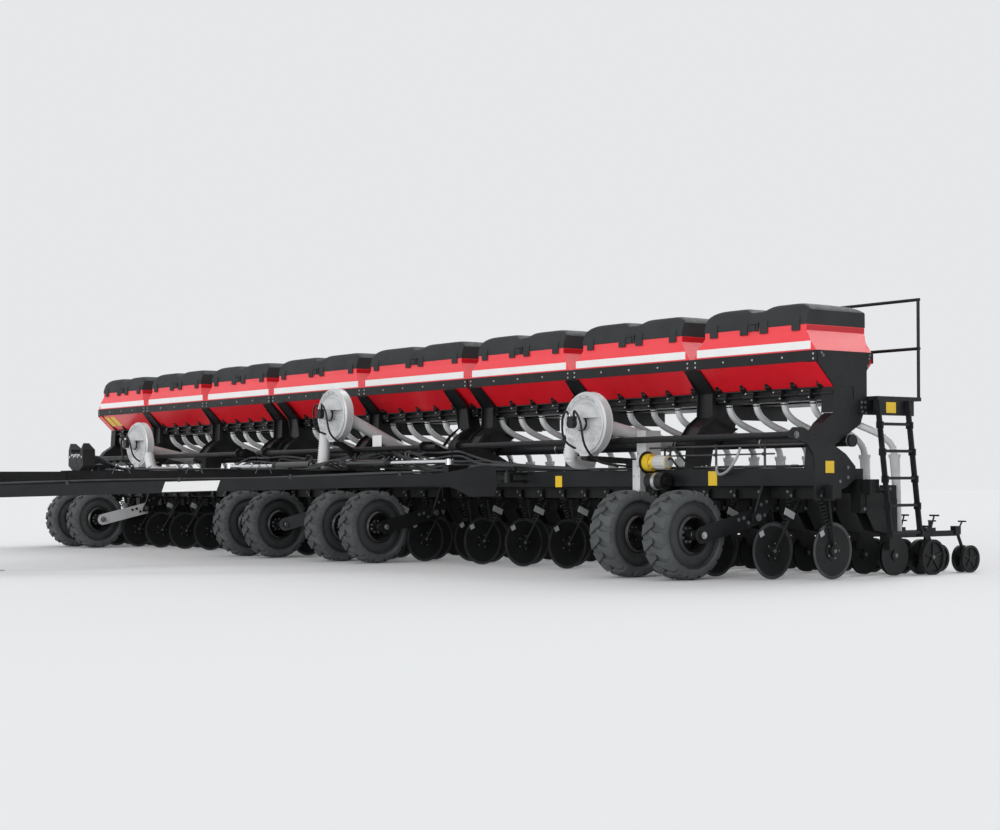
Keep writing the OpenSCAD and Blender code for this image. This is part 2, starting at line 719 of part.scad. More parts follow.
module walkway(x0, x1, stands) {
  bays = ceil((x1 - x0) / post_gap);
  block([x0, deck_front, walkway_z - deck_t], [x1, deck_rear, walkway_z]);
  for (x = stands) block([x + plate_t / 2, 610, walkway_z - deck_t - bracket_h],
    [x + plate_t * 1.5, deck_rear, walkway_z - deck_t - seat]);
  for (z = [walkway_z + rail_h, walkway_z + rail_h / 2]) bar([x0, rail_y, z], [x1, rail_y, z], rail_r);
  for (i = [0 : bays]) {
    x = x0 + rail_r + i * (x1 - x0 - 2 * rail_r) / bays;
    bar([x, rail_y, walkway_z + seat], [x, rail_y, walkway_z + rail_h], rail_r);
  }
}

ladder_y = [740, 1200];
ladder_lean = 160;
ladder_foot_z = 425;
rung_step = 275;
rungs = 5;
module ladder() {
  top = walkway_z - deck_t - seat;
  for (y = ladder_y) along_y(y - 10, 20) polygon([
    [walkway_end - 10, top], [walkway_end + 50, top],
    [walkway_end + 50 + ladder_lean, ladder_foot_z], [walkway_end - 10 + ladder_lean, ladder_foot_z]]);
  for (i = [0 : rungs - 1]) {
    z = ladder_foot_z + 20 + i * rung_step;
    x = walkway_end + 20 + ladder_lean * (top - z) / (top - ladder_foot_z);
    block([x - 25, ladder_y[0], z], [x + 25, ladder_y[1], z + 25]);
    for (y = ladder_y) block([x - 42, y - 10, z - 30], [x + 42, y + 10, z + 40]);
  }
  block([walkway_end - plate_t * 2, ladder_y[0] - 10, top - bracket_h], [walkway_end, ladder_y[1] + 10, top]);
}

module centre_walkway() at_origin() color(black) {
  walkway(-centre_half + side_gap, centre_half - side_gap, [-inset_x, 0, inset_x]);
}

module wing_walkway(side) at_origin() color(black) on_side(side) {
  stands = [for (i = [0 : 3]) wing_stand_x(i)];
  walkway(centre_half + side_gap, walkway_end, stands);
  ladder();
}

// Wheels and their arms

module wheel_arm(x, side) {
  hub_z = tyre_r;
  tilt = atan2(pivot_z - hub_z, pivot_y - wheel_y);
  l = norm([pivot_z - hub_z, pivot_y - wheel_y]);
  difference() {
    union() {
      translate([x - arm_t / 2, wheel_y, hub_z]) rotate([tilt, 0, 0]) {
        translate([0, 0, -arm_h / 2]) cube([arm_t, l, arm_h]);
        rotate([0, 90, 0]) cylinder(r = arm_h / 2, h = arm_t);
        translate([0, l, 0]) rotate([0, 90, 0]) cylinder(r = arm_h / 2, h = arm_t);
      }
      disc_x(x + side * 35, pivot_y, pivot_z, pivot_r + 15, 80);
      along_x(x + side * 50 - plate_t, 2 * plate_t) polygon([
        [pivot_y - 70, pivot_z - 50], [pivot_y + 60, pivot_z - 50],
        [beam_front + beam_size, coulter_bar_top - 160], [beam_front + beam_size - 60, coulter_bar_top],
        [beam_front, coulter_bar_top]]);
    }
    disc_x(x, wheel_y, hub_z, axle_d / 2 + fit, 3 * arm_t);
    block([x - 100, coulter_bar_y - 5, coulter_bar_top - coulter_bar_size - 5],
      [x + 100, coulter_bar_y + coulter_bar_size + 5, coulter_bar_top]);
  }
}

module wheel_arm_pair(x) for (side = [-1, 1]) wheel_arm(x + side * arm_x, side);

module centre_wheel_arms() at_origin() color(black) {
  for (side = [-1, 1]) on_side(side) wheel_arm_pair(centre_set_x);
}

module wing_wheel_arms(side) at_origin() color(black) on_side(side) wheel_arm_pair(wing_set_x);

// Tyre with a ring of lugs round its tread
lugs = 18;
lug_h = 28;
lug_ring_w = 270;
module lug_ring() {
  pitch = 360 / lugs;
  root = tyre_r - lug_h - 4;
  difference() {
    polygon([for (i = [0 : lugs - 1]) for (p = [[-0.3, root], [-0.22, tyre_r], [0.22, tyre_r], [0.3, root]])
      let (a = (i + p[0]) * pitch) [p[1] * cos(a), p[1] * sin(a)]]);
    circle(r = rim_d / 2 + 70, $fn = 24);
  }
}

module tyre(x) translate([x, wheel_y, tyre_r]) rotate([0, 90, 0]) {
  rotate_extrude($fn = 48) polygon([
    [rim_d / 2, -tyre_w / 2 + 30], [rim_d / 2 + 30, -tyre_w / 2 + 8], [tyre_r - 130, -tyre_w / 2],
    [tyre_r - 50, -tyre_w / 2 + 12], [tyre_r - lug_h, -tyre_w / 2 + 50], [tyre_r - lug_h, tyre_w / 2 - 50],
    [tyre_r - 50, tyre_w / 2 - 12], [tyre_r - 130, tyre_w / 2], [rim_d / 2 + 30, tyre_w / 2 - 8],
    [rim_d / 2, tyre_w / 2 - 30]]);
  translate([0, 0, -lug_ring_w / 2]) linear_extrude(lug_ring_w) lug_ring();
}

module tyre_pair(x) at_origin() color(rubber) for (side = [-1, 1]) tyre(x + side * twin_half);

// Dished rim with its hub, on the shaft that both rims share
module rim(x, side) translate([x, wheel_y, tyre_r]) rotate([0, 90, 0]) mirror([0, 0, side < 0 ? 1 : 0]) {
  rotate_extrude($fn = 48) polygon([
    [rim_d / 2 - 22, -tyre_w / 2 + 10], [rim_d / 2 - seat, -tyre_w / 2 + 30],
    [rim_d / 2 - seat, tyre_w / 2 - 30],
    [rim_d / 2 - 22, tyre_w / 2 - 10], [rim_d / 2 - 22, -20], [90, -40], [90, 60], [axle_d / 2 - 1, 60],
    [axle_d / 2 - 1, -60], [90, -60], [rim_d / 2 - 22, -40]]);
}

module rim_pair(x) at_origin() color(black) {
  for (side = [-1, 1]) rim(x + side * twin_half, side);
  disc_x(x, wheel_y, tyre_r, axle_d / 2, 2 * arm_x + arm_t + 60);
  for (side = [-1, 1]) disc_x(x + side * (arm_x + arm_t / 2 + 20), wheel_y, tyre_r, axle_d / 2 + 12, 30, 6);
}

// Tongue, hitch, jack and draft arms

// Length of the hose coupler block on the tongue
coupler_l = 160;
module tongue() at_origin() color(black) {
  difference() {
    block([-tongue_w / 2, tongue_front, tongue_z], [tongue_w / 2, tongue_rear, tongue_z + tongue_h]);
    block([-tongue_w / 2 + tongue_wall, tongue_front - 1, tongue_z + tongue_wall],
      [tongue_w / 2 - tongue_wall, tongue_rear - 60, tongue_z + tongue_h - tongue_wall]);
  }
  block([-cyl_x - 70, cyl_y - 70, tongue_z + tongue_h], [cyl_x + 70, cyl_y + 70, tongue_z + tongue_h + 20]);
  for (side = [-1, 1]) translate([side * cyl_x, cyl_y, tongue_z + tongue_h])
    cylinder(r = 20, h = cyl_z - tongue_z - tongue_h + 50);
  along_y(tongue_front + 150, coupler_l) polygon([
    [-tongue_w / 2, tongue_z + tongue_h], [tongue_w / 2, tongue_z + tongue_h],
    [210, 1230], [200, 1420], [140, 1420],
    [90, 1330], [-90, 1330], [-140, 1420], [-200, 1420], [-210, 1230]]);
}

plate_z = draft_front_z - eye_t / 2 - 6;
module tongue_slide() at_origin() color(black) difference() {
  union() {
    block([-slide_w / 2, -hitch_reach + nose_l, slide_z], [slide_w / 2, slide_rear, slide_z + slide_h]);
    block([-270, draft_front_y - 100, plate_z - 30], [270, draft_front_y + 100, plate_z]);
    for (side = [-1, 1]) on_side(side)
      block([slide_w / 2 - 12, draft_front_y - 100, plate_z - 30],
        [slide_w / 2 + 1, draft_front_y + 100, slide_z + 60]);
    for (x = [-slide_w / 2, slide_w / 2 - cheek_t]) along_x(x, cheek_t) translate([-hitch_reach, 0]) polygon([
      [nose_l + 20, slide_z], [nose_l + 20, slide_z + slide_h], [nose_l - 120, slide_z + slide_h],
      [60, hitch_z + 60], [60, hitch_z - 60], [nose_l - 200, hitch_z - 60]]);
    block([-slide_w / 2, -hitch_reach, hitch_z - eye_plate_t / 2],
      [slide_w / 2, -hitch_reach + nose_l / 2, hitch_z + eye_plate_t / 2]);
    translate([0, -hitch_reach, hitch_z - eye_plate_t / 2]) cylinder(r = 60, h = eye_plate_t);
    translate([jack_x, jack_y, 380]) cylinder(r = 42, h = 800);
    block([slide_w / 2 - 1, jack_y - 60, slide_z + 20], [jack_x, jack_y + 60, slide_z + slide_h - 20]);
  }
  translate([0, -hitch_reach, 0]) cylinder(d = hitch_pin_d, h = 2 * hitch_z);
  translate([jack_x, jack_y, 300]) cylinder(r = 32 + fit, h = 840);
}

module jack_foot() at_origin() color(silver) {
  translate([jack_x, jack_y, 0]) cylinder(r = 110, h = 12);
  translate([jack_x, jack_y, 0]) cylinder(r = 32, h = 700);
}

module draft_arm(side) at_origin() color(black) on_side(side) {
  a = [draft_x, draft_y, draft_z];
  b = [draft_front_x, draft_front_y, draft_front_z];
  v = b - a;
  l = norm(v);
  difference() {
    union() {
      translate(a - [0, 0, eye_t / 2]) cylinder(r = eye_r, h = eye_t);
      translate(b - [0, 0, eye_t / 2]) cylinder(r = eye_r, h = eye_t);
      translate(a) rotate([0, 0, atan2(v[1], v[0])]) rotate([0, -asin(v[2] / l), 0]) {
        translate([140, -draft_w / 2, -draft_h / 2]) cube([l - 280, draft_w, draft_h]);
        translate([0, -45, -eye_t / 2 + 4]) cube([l, 90, eye_t - 8]);
        translate([0, draft_w / 2, 0]) rotate([90, 0, 0]) linear_extrude(draft_w) polygon([
          [140, 0], [900, 0], [760, draft_h / 2 + 1], [380, 140], [140, 140]]);
      }
    }
    translate(a - [0, 0, eye_t]) cylinder(r = draft_pin_r + fit, h = 2 * eye_t);
    translate(b - [0, 0, eye_t]) cylinder(r = draft_pin_r, h = 2 * eye_t);
  }
}

// Fold cylinders

module cylinder_barrel(side) at_origin() color(black) on_side(side) difference() {
  union() {
    translate([cyl_x, cyl_y, cyl_z - 30]) cylinder(r = 45, h = 60);
    bar([cyl_x + 25, cyl_y, cyl_z], [cyl_barrel_end, cyl_y, cyl_z], cyl_barrel_r, 32);
  }
  translate([cyl_x, cyl_y, 0]) cylinder(r = 20 + fit, h = 2 * cyl_z);
  bar([cyl_x + 110, cyl_y, cyl_z], [cyl_barrel_end + 1, cyl_y, cyl_z], cyl_rod_r + fit, 32);
}

module cylinder_rod(side) at_origin() color(silver) on_side(side) difference() {
  union() {
    bar([cyl_barrel_end - 200, cyl_y, cyl_z], [cyl_eye_x, cyl_y, cyl_z], cyl_rod_r, 32);
    translate([cyl_eye_x, cyl_y, cyl_z - 34]) cylinder(r = 50, h = 68);
  }
  translate([cyl_eye_x, cyl_y, 0]) cylinder(r = 20, h = 2 * cyl_z);
}

centre_frame();
wing_frame(1);  // left_frame
wing_frame(-1);  // right_frame
centre_stands();
wing_stands(1);  // left_stands
wing_stands(-1);  // right_stands
centre_hoppers();
wing_hopper_row(1);  // left_hoppers
wing_hopper_row(-1);  // right_hoppers
lid(slot_x(0), slot_x(1));  // lid_1
lid(slot_x(1), slot_x(2));  // lid_2
lid(slot_x(2), slot_x(3));  // lid_3
lid(slot_x(3), slot_x(4));  // lid_4
lid(slot_x(4), slot_x(5));  // lid_5
lid(slot_x(5), slot_x(6));  // lid_6
lid(slot_x(6), slot_x(7));  // lid_7
lid(slot_x(7), slot_x(8));  // lid_8
centre_coulters();
wing_coulters(1);  // left_coulters
wing_coulters(-1);  // right_coulters
centre_openers();
wing_openers(1);  // left_openers
wing_openers(-1);  // right_openers
centre_seed_hoses();
wing_seed_hoses(1);  // left_seed_hoses
wing_seed_hoses(-1);  // right_seed_hoses
centre_drop_tubes();
wing_drop_tubes(1);  // left_drop_tubes
wing_drop_tubes(-1);  // right_drop_tubes
centre_fan();
wing_fan(1);  // left_fan
wing_fan(-1);  // right_fan
centre_walkway();
wing_walkway(1);  // left_walkway
wing_walkway(-1);  // right_walkway
centre_wheel_arms();
wing_wheel_arms(1);  // left_wheel_arms
wing_wheel_arms(-1);  // right_wheel_arms
tyre_pair(wing_set_x);  // tyres_left
tyre_pair(centre_set_x);  // tyres_centre_left
tyre_pair(-centre_set_x);  // tyres_centre_right
tyre_pair(-wing_set_x);  // tyres_right
rim_pair(wing_set_x);  // rims_left
rim_pair(centre_set_x);  // rims_centre_left
rim_pair(-centre_set_x);  // rims_centre_right
rim_pair(-wing_set_x);  // rims_right
drive_guard();
drive_gearbox();
tongue();
tongue_slide();
jack_foot();
draft_arm(1);  // draft_arm_left
draft_arm(-1);  // draft_arm_right
cylinder_barrel(1);  // cylinder_barrel_left
cylinder_barrel(-1);  // cylinder_barrel_right
cylinder_rod(1);  // cylinder_rod_left
cylinder_rod(-1);  // cylinder_rod_right
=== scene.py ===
import json
from math import cos, pi, radians, sin

import bpy
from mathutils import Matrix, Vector


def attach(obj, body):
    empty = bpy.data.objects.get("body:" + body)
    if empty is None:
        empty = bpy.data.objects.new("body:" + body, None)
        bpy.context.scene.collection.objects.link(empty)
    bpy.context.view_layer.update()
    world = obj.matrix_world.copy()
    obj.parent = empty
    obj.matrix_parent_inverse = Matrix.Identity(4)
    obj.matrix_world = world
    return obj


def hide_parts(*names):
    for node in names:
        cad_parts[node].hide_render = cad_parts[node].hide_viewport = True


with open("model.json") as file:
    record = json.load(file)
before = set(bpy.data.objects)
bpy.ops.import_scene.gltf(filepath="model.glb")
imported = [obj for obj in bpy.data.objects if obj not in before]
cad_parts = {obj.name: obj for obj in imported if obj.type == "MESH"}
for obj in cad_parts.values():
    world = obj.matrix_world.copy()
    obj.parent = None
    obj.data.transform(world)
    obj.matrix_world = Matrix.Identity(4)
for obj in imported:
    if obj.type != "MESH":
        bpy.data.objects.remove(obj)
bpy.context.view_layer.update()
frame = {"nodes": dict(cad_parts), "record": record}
scene = bpy.context.scene

# Lengths are in metres. Y is measured from the front of the hopper strip, and Y0 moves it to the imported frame.
Y0 = 2.0625


# Camera at the photograph's angle

VIEW = Vector((-0.7908, 0.6121, 0.0)).normalized()
CAMERA_ROLL = -0.0061

camera_data = bpy.data.cameras.new("camera")
camera_data.sensor_width = 36.0
camera_data.lens = 64.8
camera_data.shift_y = 0.0695
camera_data.clip_end = 200.0
camera = bpy.data.objects.new("camera", camera_data)
scene.collection.objects.link(camera)
camera.location = Vector((20.38, -13.43 + Y0, 0.97))
camera.rotation_euler = VIEW.to_track_quat("-Z", "Y").to_euler()
camera.rotation_euler.rotate_axis("Z", CAMERA_ROLL)
scene.camera = camera


# Materials

COAT_ROUGHNESS = 0.12
PALE_GROUND = (0.79, 0.806, 0.82, 1.0)


def new_material(name):
    """Material with its node tree and its shader."""
    m = bpy.data.materials.new(name)
    m.use_nodes = True
    return m, m.node_tree, m.node_tree.nodes["Principled BSDF"]


def preset(node, values):
    for socket, value in values.items():
        node.inputs[socket].default_value = value
    return node


def node(nt, kind, **values):
    """New shader node with its sockets set."""
    return preset(nt.nodes.new("ShaderNode" + kind), values)


def noise(nt, scale, detail=4.0):
    """Noise over the object's own coordinates."""
    n = node(nt, "TexNoise", Scale=scale, Detail=detail, Roughness=0.55)
    nt.links.new(node(nt, "TexCoord").outputs["Object"], n.inputs["Vector"])
    return n.outputs["Fac"]


def ramp(nt, value, low, high):
    """Colour between two stops, each with a position and a colour."""
    r = node(nt, "ValToRGB")
    for stop, (position, colour) in zip(r.color_ramp.elements, (low, high)):
        stop.position = position
        stop.color = (*colour, 1.0)
    nt.links.new(value, r.inputs["Fac"])
    return r.outputs["Color"]


def mottle(nt, scale, dark, light, detail=6.0):
    return ramp(nt, noise(nt, scale, detail), (0.3, dark), (0.7, light))


def sheen(nt, scale, rough):
    return ramp(nt, noise(nt, scale, 5.0), (0.35, (rough[0],) * 3), (0.7, (rough[1],) * 3))


def bump(nt, shader, height, strength, distance):
    b = node(nt, "Bump", Strength=strength, Distance=distance)
    nt.links.new(height, b.inputs["Height"])
    nt.links.new(b.outputs["Normal"], shader.inputs["Normal"])


def paint(name, slot, colour, rough=(0.3, 0.45), metallic=0.0, vary=0.12, grain=900.0, grain_depth=0.0004,
          patch=3.0, coat=0.0, spec=0.5):
    """Material with a mottled colour, uneven gloss and a fine grain, and its slot."""
    m, nt, s = new_material(name)
    c = Vector(colour)
    nt.links.new(mottle(nt, patch, c * (1.0 - vary), c * (1.0 + vary)), s.inputs["Base Color"])
    nt.links.new(sheen(nt, patch * 4.0, rough), s.inputs["Roughness"])
    preset(s, {"Metallic": metallic, "Coat Weight": coat, "Specular IOR Level": spec,
               "Coat Roughness": COAT_ROUGHNESS})
    bump(nt, s, noise(nt, grain, 3.0), 0.25, grain_depth)
    return m, slot


RUBBER_GRAIN = {"grain": 180.0, "patch": 5.0}
BLACK = paint("black_paint", "black_steel", (0.01, 0.0105, 0.0115), (0.34, 0.5), vary=0.25, spec=0.32)
FRAME = paint("frame_paint", "black_steel", (0.009, 0.0095, 0.0105), (0.36, 0.55), vary=0.3, spec=0.28)
LID = paint("lid_moulding", "lid_grey", (0.034, 0.037, 0.039), (0.6, 0.75), vary=0.15, grain=420.0,
            grain_depth=0.0012, spec=0.18)
TOOL = paint("tool_paint", "tool_steel", (0.007, 0.0075, 0.008), (0.36, 0.56), vary=0.3, patch=6.0, spec=0.24)
STEEL = paint("bare_steel", "jack_zinc", (0.42, 0.43, 0.44), (0.25, 0.42), metallic=0.9, vary=0.2, patch=9.0)
SILVER = paint("silver_paint", "fan_grey", (0.58, 0.59, 0.6), (0.32, 0.45), metallic=0.15, vary=0.1)
HOSE = paint("grey_hose", "hose_grey", (0.68, 0.69, 0.7), vary=0.1)
RUBBER = paint("rubber", "tyre", (0.04, 0.043, 0.044), (0.7, 0.85), vary=0.3, grain_depth=0.002, **RUBBER_GRAIN)
TREAD = paint("tread_rubber", "tyre", (0.074, 0.08, 0.082), (0.72, 0.88), vary=0.25, grain_depth=0.002, spec=0.35,
              **RUBBER_GRAIN)
SIDE_RUBBER = paint("side_rubber", "tyre", (0.026, 0.029, 0.03), (0.5, 0.65), vary=0.25, grain_depth=0.001,
                    **RUBBER_GRAIN)
RIM = paint("rim_paint", "rim_black", (0.012, 0.012, 0.013), (0.25, 0.4), vary=0.2, coat=0.3)
CHROME = paint("chromed_rod", "rod_chrome", (0.75, 0.76, 0.78), (0.08, 0.16), metallic=1.0, vary=0.04)
ZINC = paint("zinc_plate", "jack_zinc", (0.55, 0.56, 0.57), metallic=0.85)
BOLT = paint("dark_zinc", "jack_zinc", (0.2, 0.205, 0.21), metallic=0.7, vary=0.15)
WHITE = paint("white_plate", "fan_grey", (0.82, 0.82, 0.82), (0.3, 0.4), vary=0.03)
YELLOW = paint("yellow_plate", "gearbox_yellow", (0.78, 0.52, 0.02), (0.35, 0.45), vary=0.06)
GREY = paint("grey_paint", "fan_grey", (0.56, 0.57, 0.58), (0.35, 0.5), vary=0.1)
PALE = paint("pale_plate", "jack_zinc", (0.34, 0.35, 0.36), (0.35, 0.5), vary=0.15)
WORN = paint("worn_edge", "tool_steel", (0.06, 0.062, 0.066), metallic=0.6, vary=0.3, patch=7.0)
HYDRAULIC = paint("hydraulic_hose", "tyre", (0.045, 0.048, 0.051), (0.38, 0.55), vary=0.2, patch=9.0)
MID_GREY = paint("mid_grey_paint", "tool_steel", (0.1, 0.105, 0.11), (0.35, 0.5), vary=0.1)
# Deep red sheet used as painted shade just under the lids on the hoppers' end walls
PAINTED_SHADE_BAND = paint("red_painted_shade_band", "red_plastic", (0.55, 0.006, 0.016), (0.3, 0.4), vary=0.05)


def red_moulding_and_painted_highlight():
    """Deep red on the sloping lower panels, and a paler red on the walls above the strip as a painted highlight,
    with fine moulding grain.
    """
    m, nt, s = new_material("red_moulding_and_painted_highlight")
    link = nt.links.new
    axis = node(nt, "SeparateXYZ")
    link(node(nt, "TexCoord").outputs["Object"], axis.inputs["Vector"])
    # Painted highlight: from Z 2.2 to 2.34 upwards the red blends to a paler, pinker red, standing in for the
    # sky's glint on the upper walls
    high = preset(node(nt, "MapRange"), {"From Min": 2.2, "From Max": 2.34})
    link(axis.outputs["Z"], high.inputs["Value"])
    mix = node(nt, "MixRGB")
    link(high.outputs["Result"], mix.inputs["Fac"])
    link(mottle(nt, 3.0, (0.7, 0.01, 0.02), (0.78, 0.013, 0.026)), mix.inputs["Color1"])
    link(mottle(nt, 2.0, (0.82, 0.036, 0.05), (0.86, 0.05, 0.066)), mix.inputs["Color2"])
    link(mix.outputs["Color"], s.inputs["Base Color"])
    link(sheen(nt, 12.0, (0.28, 0.38)), s.inputs["Roughness"])
    preset(s, {"Coat Weight": 0.25, "Coat Roughness": COAT_ROUGHNESS})
    bump(nt, s, noise(nt, 260.0, 3.0), 0.25, 0.0004)
    return m, "red_plastic"


def clear_tube():
    """Milky plastic that lets some light through."""
    m, nt, s = new_material("milky_tube")
    nt.links.new(mottle(nt, 5.0, (0.62, 0.63, 0.63), (0.74, 0.75, 0.75), 4.0), s.inputs["Base Color"])
    preset(s, {"Roughness": 0.25, "Transmission Weight": 0.35, "IOR": 1.4})
    bump(nt, s, noise(nt, 60.0), 0.15, 0.001)
    return m, "drop_tube"


RED_WITH_PAINTED_HIGHLIGHT, MILKY = red_moulding_and_painted_highlight(), clear_tube()
PACKED_LOOKS = (FRAME, RED_WITH_PAINTED_HIGHLIGHT, LID, TOOL, HOSE, MILKY, SILVER, RUBBER, RIM, CHROME, ZINC, YELLOW)
SLOT_LOOK = {slot: material for material, slot in PACKED_LOOKS}

for part in frame["record"]["subparts"]:
    materials = frame["nodes"][part["node"]].data.materials
    materials.clear()
    materials.append(SLOT_LOOK[part["material_slot"]])


# Stage and light: the world lights the part as a white dome, and is seen in the floor's colour

FLOOR_HALF = 300
DOME = 0.55
# Name, direction towards the sun, strength and angle in degrees
SUNS = (("key", (0.4, -0.9, 0.5), 0.45, 30.0), ("top", (-0.45, 1.45, 1.0), 2.0, 45.0),
        ("fill", (0.9, -0.2, 0.4), 0.12, 40.0), ("front", (0.25, -1.0, 0.08), 1.4, 30.0))


def lay_floor():
    me = bpy.data.meshes.new("floor")
    corners = [(x * FLOOR_HALF, y * FLOOR_HALF, 0) for x, y in ((-1, -1), (1, -1), (1, 1), (-1, 1))]
    me.from_pydata(corners, [], [(0, 1, 2, 3)])
    floor = bpy.data.objects.new("floor", me)
    scene.collection.objects.link(floor)
    m, _, s = new_material("pale_floor")
    preset(s, {"Base Color": PALE_GROUND, "Roughness": 1.0, "Specular IOR Level": 0.0})
    me.materials.append(m)


def light_world():
    world = bpy.data.worlds.new("studio")
    scene.world = world
    world.use_nodes = True
    nt = world.node_tree
    link = nt.links.new
    dome = preset(nt.nodes["Background"], {"Color": (1.0, 1.0, 1.0, 1.0), "Strength": DOME})
    seen = node(nt, "Background", Color=PALE_GROUND, Strength=1.0)
    path = node(nt, "LightPath")
    ray = path.outputs["Is Camera Ray"]
    for other in ("Is Glossy Ray", "Is Transmission Ray"):
        either = node(nt, "Math")
        either.operation = "MAXIMUM"
        link(ray, either.inputs[0])
        link(path.outputs[other], either.inputs[1])
        ray = either.outputs[0]
    mix = node(nt, "MixShader")
    link(ray, mix.inputs["Fac"])
    link(dome.outputs["Background"], mix.inputs[1])
    link(seen.outputs["Background"], mix.inputs[2])
    link(mix.outputs["Shader"], nt.nodes["World Output"].inputs["Surface"])


def hang_suns():
    for name, towards, strength, angle in SUNS:
        sun = bpy.data.lights.new(name, "SUN")
        sun.energy = strength
        sun.angle = radians(angle)
        o = bpy.data.objects.new(name, sun)
        scene.collection.objects.link(o)
        o.rotation_euler = (-Vector(towards)).to_track_quat("-Z", "Y").to_euler()


lay_floor()
light_world()
hang_suns()
scene.view_settings.view_transform = "Standard"


# Mesh pieces

X_AXIS, Y_AXIS, Z_AXIS, FORWARD = (1, 0, 0), (0, 1, 0), (0, 0, 1), (0, -1, 0)


def circle(n, phase=0.0):
    """Cosine and sine of n angles evenly round a circle."""
    return [(cos(a), sin(a)) for a in (2 * pi * (k + phase) / n for k in range(n))]


def around(at, r, n, phase=0.0):
    """Points evenly round a centre."""
    return [(at[0] + r * c, at[1] + r * s) for c, s in circle(n, phase)]


def flipped(faces, flip):
    return [list(f)[::-1] for f in faces] if flip else faces


def ring_faces(n, start=0):
    """Quads between a ring of n points and the next."""
    return [(start + k, start + (k + 1) % n, start + n + (k + 1) % n, start + n + k) for k in range(n)]


def cap_faces(n):
    """Ends of two rings of n points."""
    return [list(range(n))[::-1], list(range(n, 2 * n))]


class Piece:
    """Mesh parts of one object on one body, with Y from the hopper strip and X mirrored for side -1."""

    def __init__(self, side=1):
        self.side, self.verts, self.faces, self.soft = side, [], [], []

    def add(self, verts, faces, soft=False):
        n = len(self.verts)
        self.verts += [(self.side * p[0], p[1] + Y0, p[2]) for p in verts]
        self.faces += flipped([[n + i for i in f] for f in faces], self.side < 0)
        self.soft += [soft] * len(faces)

    def box(self, lo, hi):
        (a, b, c), (d, e, f) = lo, hi
        v = [(a, b, c), (d, b, c), (d, e, c), (a, e, c), (a, b, f), (d, b, f), (d, e, f), (a, e, f)]
        self.add(v, cap_faces(4) + ring_faces(4))

    def prism_x(self, pts, x0, x1):
        """Solid with an outline in Y and Z, from x0 to x1."""
        n = len(pts)
        area = sum(p[0] * q[1] - q[0] * p[1] for p, q in zip(pts, pts[1:] + pts[:1]))
        self.add([(x, *p) for x in (x0, x1) for p in pts], flipped(cap_faces(n) + ring_faces(n), area <= 0))

    def plate_x(self, pts, x, side, thick):
        """Plate with one face at x, and its thickness towards a side."""
        self.prism_x(pts, min(x, x + side * thick), max(x, x + side * thick))

    def tube(self, path, r, n):
        """Round tube along a path, with one radius or one for each point."""
        path = [Vector(p) for p in path]
        radii = r if isinstance(r, list) else [r] * len(path)
        up, rings = None, []
        for i, p in enumerate(path):
            d = (path[min(i + 1, len(path) - 1)] - path[max(i - 1, 0)]).normalized()
            up = d.orthogonal() if up is None else up - d * up.dot(d)
            up.normalize()
            w = d.cross(up)
            rings += [p + radii[i] * (c * up + s * w) for c, s in circle(n)]
        self.add(rings, [f for i in range(len(path) - 1) for f in ring_faces(n, i * n)], True)
        self.add(rings[:n] + rings[-n:], cap_faces(n))

    def rod_x(self, x0, x1, at, r, n):
        """Cylinder along X at a Y and Z."""
        self.tube([(x0, *at), (x1, *at)], r, n)

    def bolt(self, at, axis, r, h):
        """Hexagon head on a washer."""
        at, axis = Vector(at), Vector(axis).normalized()
        self.tube([at, at + axis * h * 0.3], r * 1.5, 12)
        self.tube([at, at + axis * h], r, 6)

    def line(self, points, r, n=8, steps=8):
        """Hose or pipe on a smooth path through the points."""
        self.tube(curve(points, steps), r, n)

    def ribs(self, path, r, pitch, depth, n):
        """Ribbed hose along a path."""
        self.tube(*ribbed(path, r, pitch, depth), n)

    def make(self, name, body, look, bevel=0.0, slot=None):
        """Object on a body, in a look; the slot argument is not used."""
        material, own_slot = look
        me = bpy.data.meshes.new(name)
        me.from_pydata(self.verts, [], self.faces)
        me.polygons.foreach_set("use_smooth", self.soft)
        me.materials.append(material)
        o = bpy.data.objects.new(name, me)
        scene.collection.objects.link(o)
        if bevel:
            m = o.modifiers.new("bevel", "BEVEL")
            m.width, m.segments, m.limit_method = bevel, 2, "ANGLE"
        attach(o, body)
        return o


def pieces(count, side=1):
    return [Piece(side) for _ in range(count)]


def curve(points, steps):
    """Smooth path through the points."""
    p = [Vector(q) for q in points]
    p = [2 * p[0] - p[1]] + p + [2 * p[-1] - p[-2]]
    out = []
    for a, b, c, d in zip(p, p[1:], p[2:], p[3:]):
        for k in range(steps):
            t = k / steps
            out.append(0.5 * (2 * b + (c - a) * t + (2 * a - 5 * b + 4 * c - d) * t * t
                              + (3 * b - a - 3 * c + d) * t ** 3))
    return out + [p[-2]]


def ribbed(path, r, pitch, depth):
    """Path resampled with a ring at each rib and groove, and the radius of each ring."""
    path = [Vector(p) for p in path]
    at, run = [0.0], 0.0
    for a, b in zip(path, path[1:]):
        run += (b - a).length
        at.append(run)
    n = max(2, int(run / pitch) * 2)
    out, i = [], 0
    for k in range(n + 1):
        s = run * k / n
        while i < len(at) - 2 and at[i + 1] < s:
            i += 1
        out.append(path[i].lerp(path[i + 1], (s - at[i]) / max(1e-9, at[i + 1] - at[i])))
    return out, [r + (depth if k % 2 else 0.0) for k in range(n + 1)]


def slab(piece, at, along, up, normal, length, height, thick, lean=0.0):
    """Thin plate centred at a point, with its ends leaning by a share of its height."""
    at, u, w, n = Vector(at), Vector(along).normalized(), Vector(up).normalized(), Vector(normal).normalized()
    v = []
    for d in (0.0, thick):
        for a, b in ((-0.5, -0.5), (0.5, -0.5), (0.5, 0.5), (-0.5, 0.5)):
            v.append(at + u * (a * length + b * height * lean) + w * (b * height) + n * d)
    piece.add(v, cap_faces(4) + ring_faces(4))


# Layout: the sections' rows and hoppers, the wheel sets, the fold pins and the front beam

ROW = 0.4
SLOTS = [-8.2, -6.4, -4.4, -2.4, 0.0, 2.4, 4.4, 6.4, 8.2]
